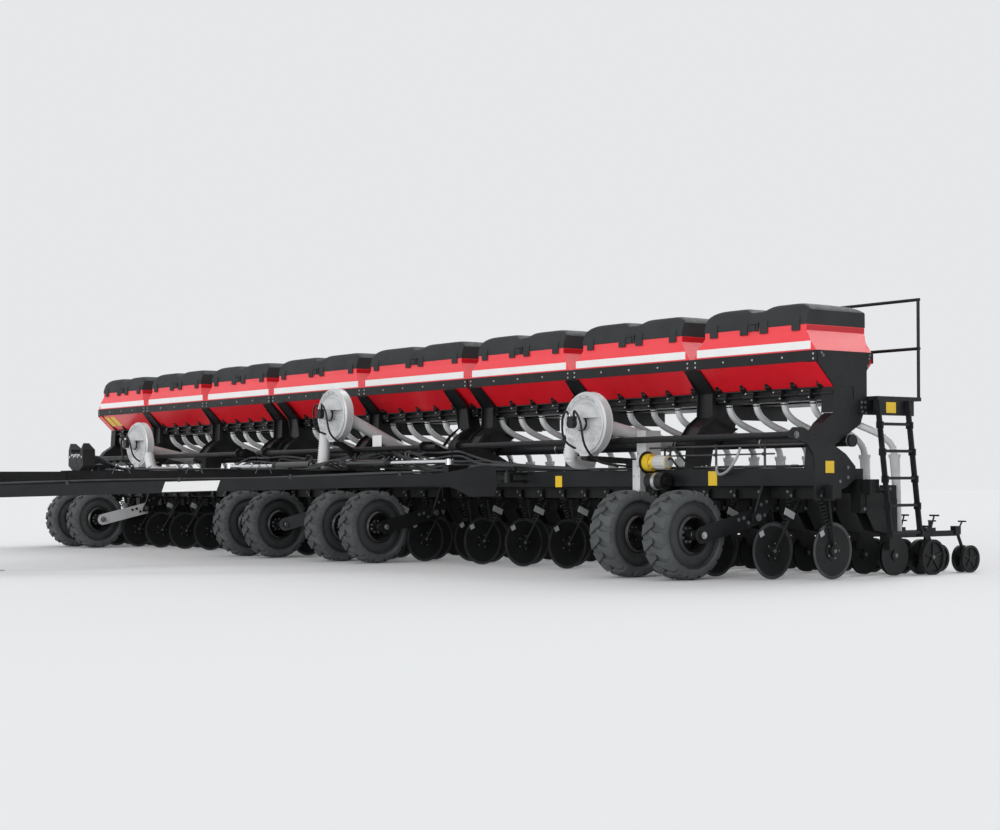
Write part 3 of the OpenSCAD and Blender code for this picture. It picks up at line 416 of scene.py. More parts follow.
# Tag in the names, body and side of each section
SECTIONS = (("centre", "centre", 1), ("left", "wing_left", 1), ("right", "wing_right", -1))
WINGS = SECTIONS[1:]
ROWS = {"centre": [-2.2 + ROW * i for i in range(12)], "left": [2.6 + ROW * i for i in range(15)]}
HOPPERS = {"centre": list(zip(SLOTS[3:5], SLOTS[4:6])), "left": list(zip(SLOTS[5:8], SLOTS[6:9]))}
ROWS["right"], HOPPERS["right"] = ROWS["left"], HOPPERS["left"]
WHEEL_X = {"left": 6.8, "centre_left": 1.2, "centre_right": -1.2, "right": -6.8}
FOLD_Y = -0.25
BEAM_FRONT, BEAM_TOP = -0.07, 1.12


# Seed hoses, from the metering boxes to the drop tubes

HOSE_TOP, DROP_TOP, DROP_END = Vector((0.36, 1.81)), Vector((1.14, 1.26)), Vector((1.205, 0.4585))
HOSE_STEPS = 40


def hose_path(x):
    d = (DROP_END - DROP_TOP).normalized()
    p = [HOSE_TOP, Vector((0.36, 1.5)), DROP_TOP - 0.3 * d, DROP_TOP]
    inward = -0.12 if x > 8.0 else 0.0
    out = []
    for k in range(HOSE_STEPS + 1):
        t = k / HOSE_STEPS
        q = (1 - t) ** 3 * p[0] + 3 * t * (1 - t) ** 2 * p[1] + 3 * t * t * (1 - t) * p[2] + t ** 3 * p[3]
        out.append((x + inward * (1 - t) ** 2 * (1 + 2 * t), q.x, q.y))
    return out


for tag, body, side in SECTIONS:
    hoses = Piece(side)
    for x in ROWS[tag]:
        hoses.ribs(hose_path(x), 0.032, 0.026, 0.006, 10)
    o = hoses.make(f"ribbed_hoses_{tag}", body, HOSE)
    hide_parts(f"{tag}_seed_hoses")


# Hopper trim: bare white stripes, notched edges, metering housings, bolts

STRIP_FACE, METER_FACE = -0.008, 0.246
LAST_METER_X = 8.1
NOTCH_FOOT = [(0.25, 1.939), (0.212, 1.976), (0.2, 1.972), (0.2, 1.958), (0.234, 1.926)]
NOTCH_TIP = [(0.212, 1.976), (0.186, 2.001), (0.182, 1.99), (0.2, 1.972)]

for tag, body, side in SECTIONS:
    stripe, trim, bolts = pieces(3, side)
    for x0, x1 in HOPPERS[tag]:
        stripe.box((x0 + 0.08, -0.0042, 2.304), (x1 - 0.1, -0.0003, 2.386))
        count = round((x1 - x0) / 0.5)
        for k in range(count + 1):
            x = x0 + 0.06 + (x1 - x0 - 0.12) * k / count
            for z in (2.254, 2.205) if k in (0, count) else (2.236,):
                bolts.bolt((x, STRIP_FACE, z), FORWARD, 0.0075, 0.008)
        n = 5 if x1 - x0 < 2.2 else 6
        for k in range(n):
            x = x0 + (x1 - x0) * (k + 0.5) / n
            trim.prism_x(NOTCH_FOOT, x - 0.034, x + 0.034)
            trim.prism_x(NOTCH_TIP, x - 0.02, x + 0.02)
    first, last = ROWS[tag][0] - 0.17, ROWS[tag][-1] + (0.17 if tag == "centre" else -0.05)
    trim.box((first, 0.236, 1.925), (last, 0.2995, 1.9395))
    trim.rod_x(first, last, (0.268, 1.872), 0.013, 8)
    for x in ROWS[tag]:
        x = min(x, LAST_METER_X)
        trim.box((x - 0.062, METER_FACE, 1.826), (x + 0.062, 0.2995, 1.9246))
        trim.rod_x(x - 0.075, x + 0.075, (0.262, 1.872), 0.034, 14)
        trim.tube([(x, HOSE_TOP.x, 1.775), (x, *HOSE_TOP)], 0.034, 14)
        bolts.bolt((x - 0.045, METER_FACE, 1.905), FORWARD, 0.007, 0.007)
        bolts.bolt((x + 0.045, METER_FACE, 1.842), FORWARD, 0.007, 0.007)
    stripe.make(f"bare_stripes_{tag}", body, WHITE, 0.001)
    trim.make(f"metering_trim_{tag}", body, BLACK, 0.003)
    bolts.make(f"hopper_bolts_{tag}", body, ZINC)


# Tyres with staggered lugs over the shoulders, hub sleeves, hub bolts and axle nuts

TYRE_R, WHEEL_Y = 0.4525, -0.9
AXLE = (WHEEL_Y, TYRE_R)
TWIN = 0.4
LUGS = 17
# Radius and half width along the profiles
SIDEWALL = [(0.197, 0.13), (0.206, 0.142), (0.222, 0.15), (0.242, 0.153), (0.266, 0.151), (0.29, 0.144),
            (0.31, 0.134), (0.324, 0.127), (0.334, 0.127), (0.34, 0.136), (0.346, 0.156)]
TREAD_BASE = [(0.346, 0.156), (0.35, 0.166), (0.358, 0.169), (0.374, 0.1695), (0.39, 0.166), (0.406, 0.157),
              (0.416, 0.144), (0.419, 0.128), (0.419, 0.09), (0.419, 0.0)]
# Half width, radius, skew and length round the tyre along a lug
LUG = [(-0.02, 0.4515, -0.034, 0.05), (0.03, 0.4525, -0.01, 0.064), (0.08, 0.4515, 0.014, 0.08),
       (0.126, 0.446, 0.026, 0.108), (0.154, 0.428, 0.03, 0.126), (0.1695, 0.384, 0.03, 0.112)]
LUG_DEPTH = 0.04
# Distance from the wheel's middle and radius along a hub sleeve
SLEEVE = [(0.06, 0.058), (0.1, 0.056), (0.105, 0.052), (0.16, 0.05), (0.165, 0.046), (0.23, 0.044)]


def lathe(piece, x, profile, n=68):
    m = len(profile)
    verts = [(x + w, WHEEL_Y + r * c, TYRE_R + r * s) for c, s in circle(n) for r, w in profile]
    faces = [(k * m + j, k * m + j + 1, ((k + 1) % n) * m + j + 1, ((k + 1) % n) * m + j)
             for k in range(n) for j in range(m - 1)]
    piece.add(verts, faces, True)


def add_lug(piece, x, s, start):
    v, f = [], []
    for w, r, skew, length in LUG:
        for rr, grow in ((r, 0.5), (r - LUG_DEPTH, 0.58)):
            inset = 0.012 if rr < r and w > 0.12 else 0.0
            for e in (-1, 1):
                a = start + (skew + e * length * grow) / 0.45
                v.append((x + s * (w - inset), WHEEL_Y + rr * cos(a), TYRE_R + rr * sin(a)))
    last = 4 * (len(LUG) - 1)
    for b in range(0, last, 4):
        c = b + 4
        f += [(b, b + 1, c + 1, c), (b + 1, b + 3, c + 3, c + 1), (b + 2, b, c, c + 2)]
    f += [(0, 2, 3, 1), (last, last + 1, last + 3, last + 2)]
    piece.add(v, flipped(f, s > 0))


def add_tyre(tread, walls, x):
    lathe(tread, x, TREAD_BASE + [(r, -w) for r, w in TREAD_BASE[-2::-1]])
    lathe(walls, x, SIDEWALL)
    lathe(walls, x, [(r, -w) for r, w in SIDEWALL[::-1]])
    for k in range(LUGS):
        for s, offset in ((-1, 0.0), (1, 0.5)):
            add_lug(tread, x, s, 2 * pi * (k + offset) / LUGS)


for tag, x in WHEEL_X.items():
    body = f"wheels_{tag}"
    tread, walls, hub, nut = pieces(4)
    for s in (-1, 1):
        cx = x + s * TWIN
        add_tyre(tread, walls, cx)
        for face in (-1, 1):
            base = cx + face * (0.0605 if face == s else 0.045)
            for at in around(AXLE, 0.071, 8, 0.5):
                nut.bolt((base, *at), (face, 0, 0), 0.01, 0.016)
        hub.tube([(cx + s * d, *AXLE) for d, _ in SLEEVE], [r for _, r in SLEEVE], 24)
        nut.bolt((x + s * 0.6975, *AXLE), (s, 0, 0), 0.024, 0.018)
    o = tread.make(f"lugged_tyres_{tag}", body, TREAD, 0.004)
    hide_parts(f"tyres_{tag}")
    walls.make(f"tyre_sidewalls_{tag}", body, SIDE_RUBBER)
    hub.make(f"hub_sleeves_{tag}", body, RIM, 0.002)
    nut.make(f"axle_nuts_{tag}", body, STEEL, 0.002)


# Row units: springs, spokes, caps, handles and bolts

DEPTH_AT, CLOSING_AT, OPENER_AT = (1.64, 0.185), (2.29, 0.147), (1.12, 0.2155)
COULTER_Y, COULTER_Z = (0.19, -0.25), 0.288
COIL_STEPS = 9


def coulter_rows(tag):
    """X of each row and Y of its coulter: staggered from the wing's tip, or from both ends of the centre."""
    rows, last = ROWS[tag], len(ROWS[tag]) - 1
    for i, x in enumerate(rows):
        yield x, COULTER_Y[(min(i, last - i) if tag == "centre" else last - i) % 2]


def coil(piece, a, b, r, wire, turns):
    a, b = Vector(a), Vector(b)
    d = (b - a).normalized()
    u = d.orthogonal().normalized()
    w = d.cross(u)
    n = turns * COIL_STEPS
    ring = circle(COIL_STEPS) * turns + [(1.0, 0.0)]
    piece.tube([a + (b - a) * k / n + r * (c * u + s * w) for k, (c, s) in enumerate(ring)], wire, 5)


def spoked_wheel(piece, x, at, face, r, gap, thick, hub_r, hub_out, hub_n):
    """Five spokes and a hub on one face of a wheel."""
    y, z = at
    for k in range(5):
        a = 2 * pi * k / 5 + 0.3
        c, s = cos(a), sin(a)
        v = [(x + face * gap + dx, y + dist * c - e * half * s, z + dist * s + e * half * c)
             for dist, half in ((0.02, 0.016), (r, 0.011)) for e in (-1, 1) for dx in (0.0, face * thick)]
        piece.add(v, [(0, 1, 3, 2), (4, 6, 7, 5), (0, 2, 6, 4), (1, 5, 7, 3), (0, 4, 5, 1), (2, 3, 7, 6)])
    piece.rod_x(x, x + face * hub_out, at, hub_r, hub_n)


for tag, body, side in SECTIONS:
    trim, springs, bright = pieces(3, side)
    for x in ROWS[tag]:
        for s in (-1, 1):
            for face in (-1, 1):
                spoked_wheel(trim, x + s * 0.075, DEPTH_AT, face, 0.15, 0.0068, 0.012, 0.036, 0.022, 14)
                bright.bolt((x + s * 0.075 + face * 0.022, *DEPTH_AT), (face, 0, 0), 0.013, 0.01)
                spoked_wheel(trim, x + s * 0.055, CLOSING_AT, face, 0.11, 0.0048, 0.01, 0.028, 0.018, 12)
            coil(springs, (x + s * 0.03, 0.72, 0.985), (x + s * 0.03, 0.99, 0.73), 0.022, 0.006, 9)
            for at in ((0.6, 0.7), (0.6, 0.9), (0.99, 0.7), (0.99, 0.9)):
                bright.bolt((x + s * 0.066, *at), (s, 0, 0), 0.012, 0.01)
            trim.rod_x(x + s * 0.019, x + s * 0.034, OPENER_AT, 0.055, 18)
            bright.bolt((x + s * 0.034, *OPENER_AT), (s, 0, 0), 0.014, 0.01)
        trim.rod_x(x - 0.06, x + 0.06, (1.772, 0.617), 0.01, 8)
        trim.rod_x(x - 0.05, x + 0.05, (2.232, 0.547), 0.009, 8)
        trim.box((x - 0.03, 1.6, 0.4556), (x + 0.03, 1.76, 0.49))
        trim.tube([(x, 1.7, 0.43), (x, 1.7, 0.56)], 0.018, 10)
        trim.box((x - 0.035, 2.08, 0.41), (x + 0.035, 2.17, 0.5))
        trim.box((x - 0.026, 1.3, 0.4556), (x + 0.026, 1.55, 0.47))
    for x, y in coulter_rows(tag):
        for s in (-1, 1):
            trim.rod_x(x + s * 0.003, x + s * 0.012, (y, COULTER_Z), 0.1, 20)
            bright.bolt((x + s * 0.035, y, COULTER_Z), (s, 0, 0), 0.014, 0.012)
            for at in around((y, COULTER_Z), 0.078, 5):
                bright.bolt((x + s * 0.012, *at), (s, 0, 0), 0.007, 0.006)
        coil(springs, (x, 0.02, 0.8), (x, y * 0.45 + 0.04, 0.52), 0.03, 0.008, 8)
        trim.box((x - 0.04, 0.0, 0.815), (x + 0.04, 0.0195, 0.9))
        bright.bolt((x - 0.025, 0.0, 0.88), FORWARD, 0.01, 0.009)
        bright.bolt((x + 0.025, 0.0, 0.84), FORWARD, 0.01, 0.009)
    trim.make(f"row_trim_{tag}", body, TOOL, 0.002)
    springs.make(f"row_springs_{tag}", body, TOOL)
    bright.make(f"row_bolts_{tag}", body, BOLT)


# Lids: moulded shells with two rounded humps, hook tabs, a latch and hinge sleeves

LID_Z, LID_FRONT, LID_REAR, LID_HINGE = 2.5603, 0.021, 0.899, (0.916, 2.56)
LID_WALL, LID_GAP = 0.008, 0.176
# Distance from the front and height along the lid's cross-section
LID_SIDE = [(0.0, 0.0), (0.0, 0.022), (0.001, 0.04), (0.006, 0.058), (0.015, 0.082), (0.027, 0.112),
            (0.041, 0.146), (0.057, 0.18), (0.074, 0.203), (0.098, 0.219), (0.13, 0.229), (0.175, 0.234),
            (0.25, 0.235), (0.4, 0.235), (0.55, 0.231), (0.68, 0.223), (0.77, 0.212), (0.825, 0.2),
            (0.855, 0.186), (0.872, 0.166), (0.878, 0.142), (0.878, 0.0)]
# Distances from the lid's ends and from its middle at which the shell has a station
LID_ENDS = (0.0, 0.006, 0.018, 0.04, 0.07, 0.11, 0.16, 0.22)
LID_MIDDLE = (0.0, 0.03, 0.06, 0.085, 0.11, 0.135, 0.16, 0.185, 0.21, 0.25)
HOOK = [(0.0215, 2.606), (0.0215, 2.504), (0.009, 2.5), (0.0095, 2.575), (0.014, 2.606)]
HOOK_ROOT = [(0.024, 2.64), (0.0215, 2.6), (0.0095, 2.575), (0.012, 2.606)]
HOOK_HALF = 0.055


def lid_limit(x, half):
    """Height of the lid's front outline at x: rounded ends and a dip in the middle."""
    a = abs(x)
    end = max(0.0, min(1.0, (half - a) / 0.22))
    h = 0.15 + 0.085 * sin(0.5 * pi * end) ** 0.8
    if a < 0.24:
        h = min(h, 0.172 + 0.063 * (0.5 - 0.5 * cos(pi * max(0.0, a - 0.06) / 0.18)))
    return h


def lower_of(a, b, blend=0.018):
    """Lower of two heights, with a rounded change between them."""
    h = max(blend - abs(a - b), 0.0) / blend
    return min(a, b) - h * h * blend * 0.25


def lid_shell(piece, mid, half):
    """Outer skin and inner skin, one wall apart."""
    spots = [half - d for d in LID_ENDS] + [half * 0.6, half * 0.4, *LID_MIDDLE]
    stations = sorted({round(s * v, 4) for s in (-1, 1) for v in spots})
    m, last = len(LID_SIDE), (len(stations) - 1) * len(LID_SIDE)
    faces = [(a + j, a + m + j, a + m + j + 1, a + j + 1) for a in range(0, last, m) for j in range(m - 1)]
    ends = [list(range(m)), list(range(last, last + m))[::-1]]
    for inset in (0.0, LID_WALL):
        v = []
        for x in stations:
            xx = max(-half + inset, min(half - inset, x))
            for dy, h in LID_SIDE:
                y = max(LID_FRONT + inset, min(LID_REAR - inset, LID_FRONT + dy))
                z = lower_of(h, lid_limit(x, half)) if h > 0.12 else h
                v.append((mid + xx, y, LID_Z + (max(0.0, z - inset) if h > 0 else 0.0)))
        piece.add(v, flipped(faces, inset > 0), True)
        piece.add(v, flipped(ends, inset > 0))


for i, (x0, x1) in enumerate(zip(SLOTS, SLOTS[1:]), 1):
    body, mid, half = f"lid_{i}", (x0 + x1) / 2, (x1 - x0) / 2 - LID_GAP
    shell, fit = pieces(2)
    lid_shell(shell, mid, half)
    for s in (-1, 1):
        for x in (mid + s * 0.14, mid + s * (half - 0.14)):
            for outline in (HOOK, HOOK_ROOT):
                fit.prism_x(outline, x - HOOK_HALF, x + HOOK_HALF)
        x = mid + s * (half - 0.3)
        fit.rod_x(x - 0.03, x + 0.03, LID_HINGE, 0.009, 16)
        fit.box((x - 0.03, 0.891, 2.562), (x + 0.03, 0.916, 2.569))
        x = mid + s * 0.055
        fit.box((x - 0.012, 0.004, 2.53), (x + 0.012, 0.0205, 2.62))
    fit.box((mid - 0.035, -0.002, 2.535), (mid + 0.035, 0.0215, 2.6))
    fit.rod_x(mid - 0.075, mid + 0.075, (0.008, 2.612), 0.009, 10)
    o = shell.make(f"moulded_lid_{i}", body, LID)
    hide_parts(body)
    fit.make(f"lid_fittings_{i}", body, LID, 0.003)


# Bare plates: yellow signs, and white plates on the draft arms, with the arms' pins and hoses

SIGN_T = 0.003
# Middle, direction along, direction out, length and height of each yellow plate of a wing
SIGNS = (((8.2242, 0.13, 1.125), Y_AXIS, X_AXIS, 0.125, 0.12), ((8.3002, 0.97, 1.73), Y_AXIS, X_AXIS, 0.15, 0.11),
         ((6.787, -0.0802, 1.02), X_AXIS, FORWARD, 0.13, 0.15),
         ((4.25, -0.0802, 1.0), X_AXIS, FORWARD, 0.12, 0.13))

for tag, body, side in WINGS:
    signs = Piece(side)
    for at, along, normal, length, height in SIGNS:
        slab(signs, at, along, Z_AXIS, normal, length, height, SIGN_T)
    signs.make(f"yellow_plates_{tag}", body, YELLOW, 0.001)

marks = Piece(-1)
for x in (7.93, 7.71):
    slab(marks, (x, 0.1035, 2.0797), X_AXIS, (0, -0.25, 0.24), (0, -0.24, -0.25), 0.17, 0.21, SIGN_T)
marks.make("yellow_marks_right", "wing_right", YELLOW)

# The left draft arm from its pin to its front eye, and the direction out of its outer side
ARM_A, ARM_B = Vector((3.6, -0.33, 1.05)), Vector((0.2, -5.73, 0.915))
ARM_RUN = ARM_B - ARM_A
ARM_OUT = Vector((-ARM_RUN.y, ARM_RUN.x, 0.0)).normalized()
ARM_SIDE = 0.0602


def on_arm(t, out=0.0, up=0.0):
    """Point at a share of the arm's length, moved outwards and up."""
    return ARM_A + ARM_RUN * t + ARM_OUT * out + Vector((0, 0, up))


for tag, _, side in WINGS:
    body = f"draft_{tag}"
    plate, pins, hoses = pieces(3, side)
    slab(plate, on_arm(0.579, ARM_SIDE), -ARM_RUN, Z_AXIS, ARM_OUT, 0.63, 0.118, SIGN_T, 0.35)
    plate.make(f"white_plate_{body}", body, WHITE, 0.001)
    pins.tube([on_arm(1, 0, -0.034), on_arm(1, 0, 0.075)], 0.0245, 20)
    pins.tube([on_arm(1, 0, 0.0302), on_arm(1, 0, 0.045)], 0.045, 20)
    pins.make(f"draft_pins_{body}", body, ZINC, 0.002)
    for k, out in enumerate((-0.03, 0.03)):
        shares = (0.16, 0.25, 0.35, 0.45, 0.55, 0.65, 0.75, 0.85, 0.95)
        hoses.line([on_arm(t, out, 0.086 + 0.012 * sin(9 * t + k)) for t in shares], 0.011, steps=4)
    for t in (0.2, 0.4, 0.6, 0.8, 0.93):
        slab(hoses, on_arm(t, 0, 0.103), ARM_RUN, ARM_OUT, Z_AXIS, 0.03, 0.126, 0.004)
        for s in (-1, 1):
            slab(hoses, on_arm(t, s * ARM_SIDE, 0.08), ARM_RUN, Z_AXIS, ARM_OUT * s, 0.03, 0.054, SIGN_T)
    hoses.make(f"draft_hoses_{body}", body, RUBBER)


# Fans: flange rings, bolts, ribbed hoses and motor fittings

FAN_Y = -0.6
FAN_FACE = FAN_Y - 0.075
MOTOR_Y = FAN_FACE - 0.14
DUCT = (0.45, 1.39)
FULL_TURN = circle(48) + [(1.0, 0.0)]

for tag, body, side in SECTIONS:
    x, z = (0.28, 1.9) if tag == "centre" else (5.4, 1.63)
    ring, dark, bright, hose = pieces(4, side)
    for r, wire, y in ((0.315, 0.013, FAN_FACE), (0.338, 0.01, FAN_FACE + 0.03), (0.338, 0.01, FAN_FACE + 0.12),
                       (0.262, 0.008, FAN_FACE + 0.024)):
        ring.tube([(x + r * c, y, z + r * s) for c, s in FULL_TURN], wire, 8)
    for at_x, at_z in around((x, z), 0.3, 16, 0.5):
        bright.bolt((at_x, FAN_FACE, at_z), FORWARD, 0.01, 0.012)
    for r in (0.1 + 0.03 * k for k in range(5)):
        ring.tube([(x + r * c, FAN_FACE + 0.024, z - r * s) for c, s in circle(32)[:17]], 0.004, 6)
    for c, s in circle(18, 0.5)[:9]:
        ring.tube([(x + r * c, FAN_FACE + 0.022, z - r * s) for r in (0.085, 0.255)], 0.004, 6)
    elbow = [(x - 0.34, FAN_Y + 0.01, 1.275), (x - 0.37, FAN_Y + 0.1, 1.22), (x - 0.4, FAN_Y + 0.26, 1.21),
             (x - 0.41, FAN_Y + 0.4, 1.23)]
    outlet = [(x + 0.2, FAN_Y + 0.08, z - 0.02 - 0.08 * (z - 1.41) / 1.05), (x + 0.2, *DUCT)]
    inlet = [(x - 0.245, FAN_Y + 0.002, z - 0.11), (x - 0.34, FAN_Y + 0.01, 1.27)]
    hose.ribs(outlet, 0.066, 0.03, 0.012, 24)
    hose.ribs(inlet, 0.071, 0.03, 0.012, 24)
    hose.ribs(curve(elbow, 8), 0.062, 0.03, 0.01, 20)
    hose.make(f"fan_hoses_{tag}", body, HOSE)
    ring.make(f"fan_rings_{tag}", body, SILVER)
    dark.tube([(x, MOTOR_Y + 0.055, z), (x, MOTOR_Y - 0.06, z)], 0.055, 24)
    dark.tube([(x, MOTOR_Y + 0.12, z), (x, MOTOR_Y + 0.1, z)], 0.085, 24)
    dark.box((x - 0.05, MOTOR_Y - 0.055, z + 0.02), (x + 0.05, MOTOR_Y, z + 0.075))
    for dx, drop in ((-0.03, 0.32), (0.03, 0.42)):
        dark.line([(x + dx, MOTOR_Y - 0.03, z + 0.07), (x + dx * 2.5, MOTOR_Y - 0.05, z + 0.13),
                   (x + dx * 5, MOTOR_Y - 0.04, z + 0.02), (x + dx * 5.5, MOTOR_Y + 0.02, z - drop * 0.6),
                   (x + dx * 4, FAN_Y + 0.05, z - drop), (x + dx * 3, -0.1, 1.16)], 0.013)
        bright.tube([(x + dx, MOTOR_Y - 0.03, z + 0.075), (x + dx, MOTOR_Y - 0.03, z + 0.1)], 0.017, 6)
    for at_x, at_z in around((x, z), 0.066, 6):
        bright.bolt((at_x, MOTOR_Y + 0.1, at_z), FORWARD, 0.008, 0.01)
    dark.make(f"fan_motor_{tag}", body, BLACK, 0.003)
    bright.make(f"fan_bolts_{tag}", body, ZINC)


# Hoses along the beams and the tongue, with clips and clamps, and the fittings of the fold cylinders

# Distance from the beam's front, height over the beam, and radius of each hose
BEAM_HOSES = ((0.035, 0.014, 0.012), (0.065, 0.013, 0.011), (0.095, 0.014, 0.012), (0.125, 0.012, 0.01))
CLIP_TOP = 1.151

for tag, body, side in SECTIONS:
    x0, x1 = (-2.25, 2.25) if tag == "centre" else (2.75, 7.95)
    hoses, clips = pieces(2, side)
    for k, (dy, dz, r) in enumerate(BEAM_HOSES):
        wave = [(x0 + (x1 - x0) * j / 12, BEAM_FRONT + dy + 0.006 * sin(2.1 * j + k),
                 BEAM_TOP + dz + 0.003 + 0.004 * sin(1.7 * j + 2 * k)) for j in range(13)]
        hoses.line(wave, r, steps=6)
    n = 4 if tag == "centre" else 8
    for j in range(n + 1):
        x = x0 + 0.1 + (x1 - x0 - 0.2) * j / n
        clips.box((x - 0.015, -0.055, 1.1455), (x + 0.015, 0.075, CLIP_TOP))
        clips.bolt((x, 0.011, CLIP_TOP), Z_AXIS, 0.009, 0.009)
    hoses.make(f"beam_hoses_{tag}", body, RUBBER)
    clips.make(f"hose_clips_{tag}", body, ZINC, 0.001)

BUNDLE_Z = 1.183

bundle, clamps, couplers = pieces(3)
for k in range(7):
    out, end = k - 3, 1.335 + 0.02 * (k % 2)
    x = 0.025 * out
    front = [(0.055 * out, -4.03, end), (0.045 * out, -3.9, 1.33), (x * 1.2, -3.7, 1.235),
             (x, -3.5, BUNDLE_Z + 0.004)]
    middle = [(x + 0.004 * sin(3 * j + k), -3.2 + 0.5 * j,
               BUNDLE_Z + 0.006 * (0.5 + 0.5 * sin(2.3 * j + 1.7 * k))) for j in range(5)]
    rear = [(x * 1.6, -0.85, BUNDLE_Z + 0.01), (0.09 * out, -0.62, BUNDLE_Z + 0.06 + 0.01 * k),
            (0.16 * out, -0.4, 1.2), (0.2 * out, -0.02, 1.155)]
    bundle.line(front + middle + rear, 0.0115, steps=6)
    couplers.tube([(0.055 * out, y, end) for y in (-4.155, -4.02)], 0.016, 6)
for y in (-3.45, -2.7, -1.95, -1.2):
    for x0, z0, x1, z1 in ((-0.098, 1.2025, 0.098, 1.2085), (-0.099, 1.1702, -0.093, 1.2025),
                           (0.093, 1.1702, 0.099, 1.2025)):
        clamps.box((x0, y - 0.02, z0), (x1, y + 0.02, z1))
bundle.make("tongue_hoses", "centre", RUBBER)
clamps.make("tongue_clamps", "centre", BLACK, 0.001)
couplers.make("tongue_couplers", "centre", ZINC, 0.001)

CYLINDER = (-0.52, 1.25)

for tag, _, side in WINGS:
    body, gland = f"barrel_{tag}", Piece(side)
    gland.rod_x(1.36, 1.4195, CYLINDER, 0.062, 32)
    for x in (0.62, 1.3):
        gland.tube([(x, CYLINDER[0], z) for z in (1.3, 1.335)], 0.018, 6)
    gland.line([(0.62, -0.52, 1.33), (0.6, -0.5, 1.38), (0.54, -0.47, 1.36), (0.49, -0.5, 1.31)], 0.011)
    gland.line([(1.3, -0.52, 1.33), (1.24, -0.52, 1.345), (1.0, -0.5, 1.318), (0.7, -0.49, 1.32),
                (0.58, -0.47, 1.345), (0.51, -0.48, 1.31)], 0.011)
    gland.make(f"cylinder_fittings_{body}", body, BLACK, 0.002)


# Ends of the hoppers, with painted shade bands, and of the stands, air ducts, grips of the decks and ladders, and
# bolts of the wheel arms

# Outline in Y and Z of the painted shade band under the lids
SHADE_BAND_OUTLINE = [(0.03, 2.503), (0.885, 2.503), (0.885, 2.552), (0.03, 2.552)]
INNER_BOLTS = ((0.64, 1.85), (0.64, 1.78), (0.64, 1.71))
# X, radius and height of the bolts in the wings' stands, and their Y and Z
STAND_BOLTS = (
    (8.1912, 0.01, 0.01, ((0.055, 2.262), (0.08, 2.238), (0.775, 2.262), (0.765, 2.225), (0.745, 2.15))),
    (8.2033, 0.01, 0.01, ((0.635, 1.78), (0.69, 1.78), (0.635, 1.73), (0.69, 1.73), (0.645, 1.685),
                          (0.7, 1.672), (1.26, 1.785), (1.33, 1.785), (1.33, 1.735), (1.26, 1.7))),
    (8.2242, 0.024, 0.016, ((-0.35, 1.44),)), (8.2242, 0.012, 0.01, ((0.28, 0.98), (0.4, 1.02), (0.4, 1.12))),
    (4.4062, 0.01, 0.01, INNER_BOLTS), (6.4062, 0.01, 0.01, INNER_BOLTS))
TREADS, TREAD_HALF = [0.445 + 0.275 * i for i in range(5)], 0.0252
LADDER_TOP_X, LADDER_TOP_Z, LADDER_LEAN = 8.32, 1.8047, 0.16 / 1.3797
ARM_PIVOT = (-0.16, 0.62)
# Wheel set and body of each pair of arms, and the looks of its side plates and their bolts
ARMS = (("centre_right", "centre", MID_GREY, FRAME), ("centre_left", "centre", FRAME, BOLT),
        ("left", "wing_left", FRAME, BOLT), ("right", "wing_right", GREY, FRAME))


def duct_and_grips(piece, x0, x1, first, pitch, count):
    """Air duct from x0 to x1, and grip bars across the deck."""
    piece.rod_x(x0, x1, DUCT, 0.0578, 28)
    for k in range(count):
        x = first + pitch * k
        piece.box((x, 0.752, 1.8455), (x + 0.025, 1.395, 1.8515))


# Painted shade: a thin deep red plate just under each lid on both end walls of each hopper, standing in for the
# shade on the vertical strip there
for tag, body, side in SECTIONS:
    shade_band = Piece(side)
    for x0, x1 in HOPPERS[tag]:
        shade_band.plate_x(SHADE_BAND_OUTLINE, x0 + 0.18, -1, 0.0025)
        shade_band.plate_x(SHADE_BAND_OUTLINE, x1 - 0.18, 1, 0.0025)
    shade_band.make(f"hopper_painted_shade_bands_{tag}", body, PAINTED_SHADE_BAND, 0.001)

for tag, body, side in WINGS:
    bolts, dark, clamp = pieces(3, side)
    for x, r, h, spots in STAND_BOLTS:
        for at in spots:
            bolts.bolt((x, *at), X_AXIS, r, h)
    bolts.make(f"stand_bolts_{tag}", body, BOLT)
    duct_and_grips(dark, 2.42, 8.245, 2.5, 0.2286, 25)
    dark.rod_x(8.2205, 8.252, DUCT, 0.063, 28)
    for z in TREADS:
        x = LADDER_TOP_X + LADDER_LEAN * (LADDER_TOP_Z - z)
        for j in range(9):
            dark.rod_x(x - TREAD_HALF, x + TREAD_HALF, (0.78 + 0.0475 * j, z + TREAD_HALF), 0.005, 6)
    dark.make(f"duct_and_grips_{tag}", body, BLACK)
    for x in (8.205, 7.0, 5.7, 5.1, 3.6):
        clamp.rod_x(x, x + 0.014, DUCT, 0.0605, 28)
        clamp.box((x - 0.004, 0.44, 1.447), (x + 0.018, 0.46, 1.468))
    clamp.make(f"duct_clamps_{tag}", body, ZINC)

dark = Piece()
duct_and_grips(dark, -2.383, 2.383, -2.3, 0.24, 20)
dark.make("duct_and_grips_centre", "centre", BLACK)

for tag, body, _ in SECTIONS:
    heads = Piece()
    for x in (WHEEL_X[arm[0]] for arm in ARMS if arm[1] == body):
        for s in (-1, 1):
            heads.bolt((x + s * 0.7255, *ARM_PIVOT), (s, 0, 0), 0.026, 0.018)
            for at in ((-0.03, 0.78), (-0.11, 0.75), (-0.06, 0.64)):
                heads.bolt((x + s * 0.712, *at), (s, 0, 0), 0.012, 0.011)
    heads.make(f"arm_bolts_{tag}", body, BOLT)


# Metering drive on the left wing

DRIVE, PUMP = (-0.15, 1.2), (-0.2, 0.995)
DRIVE_R = 0.0735

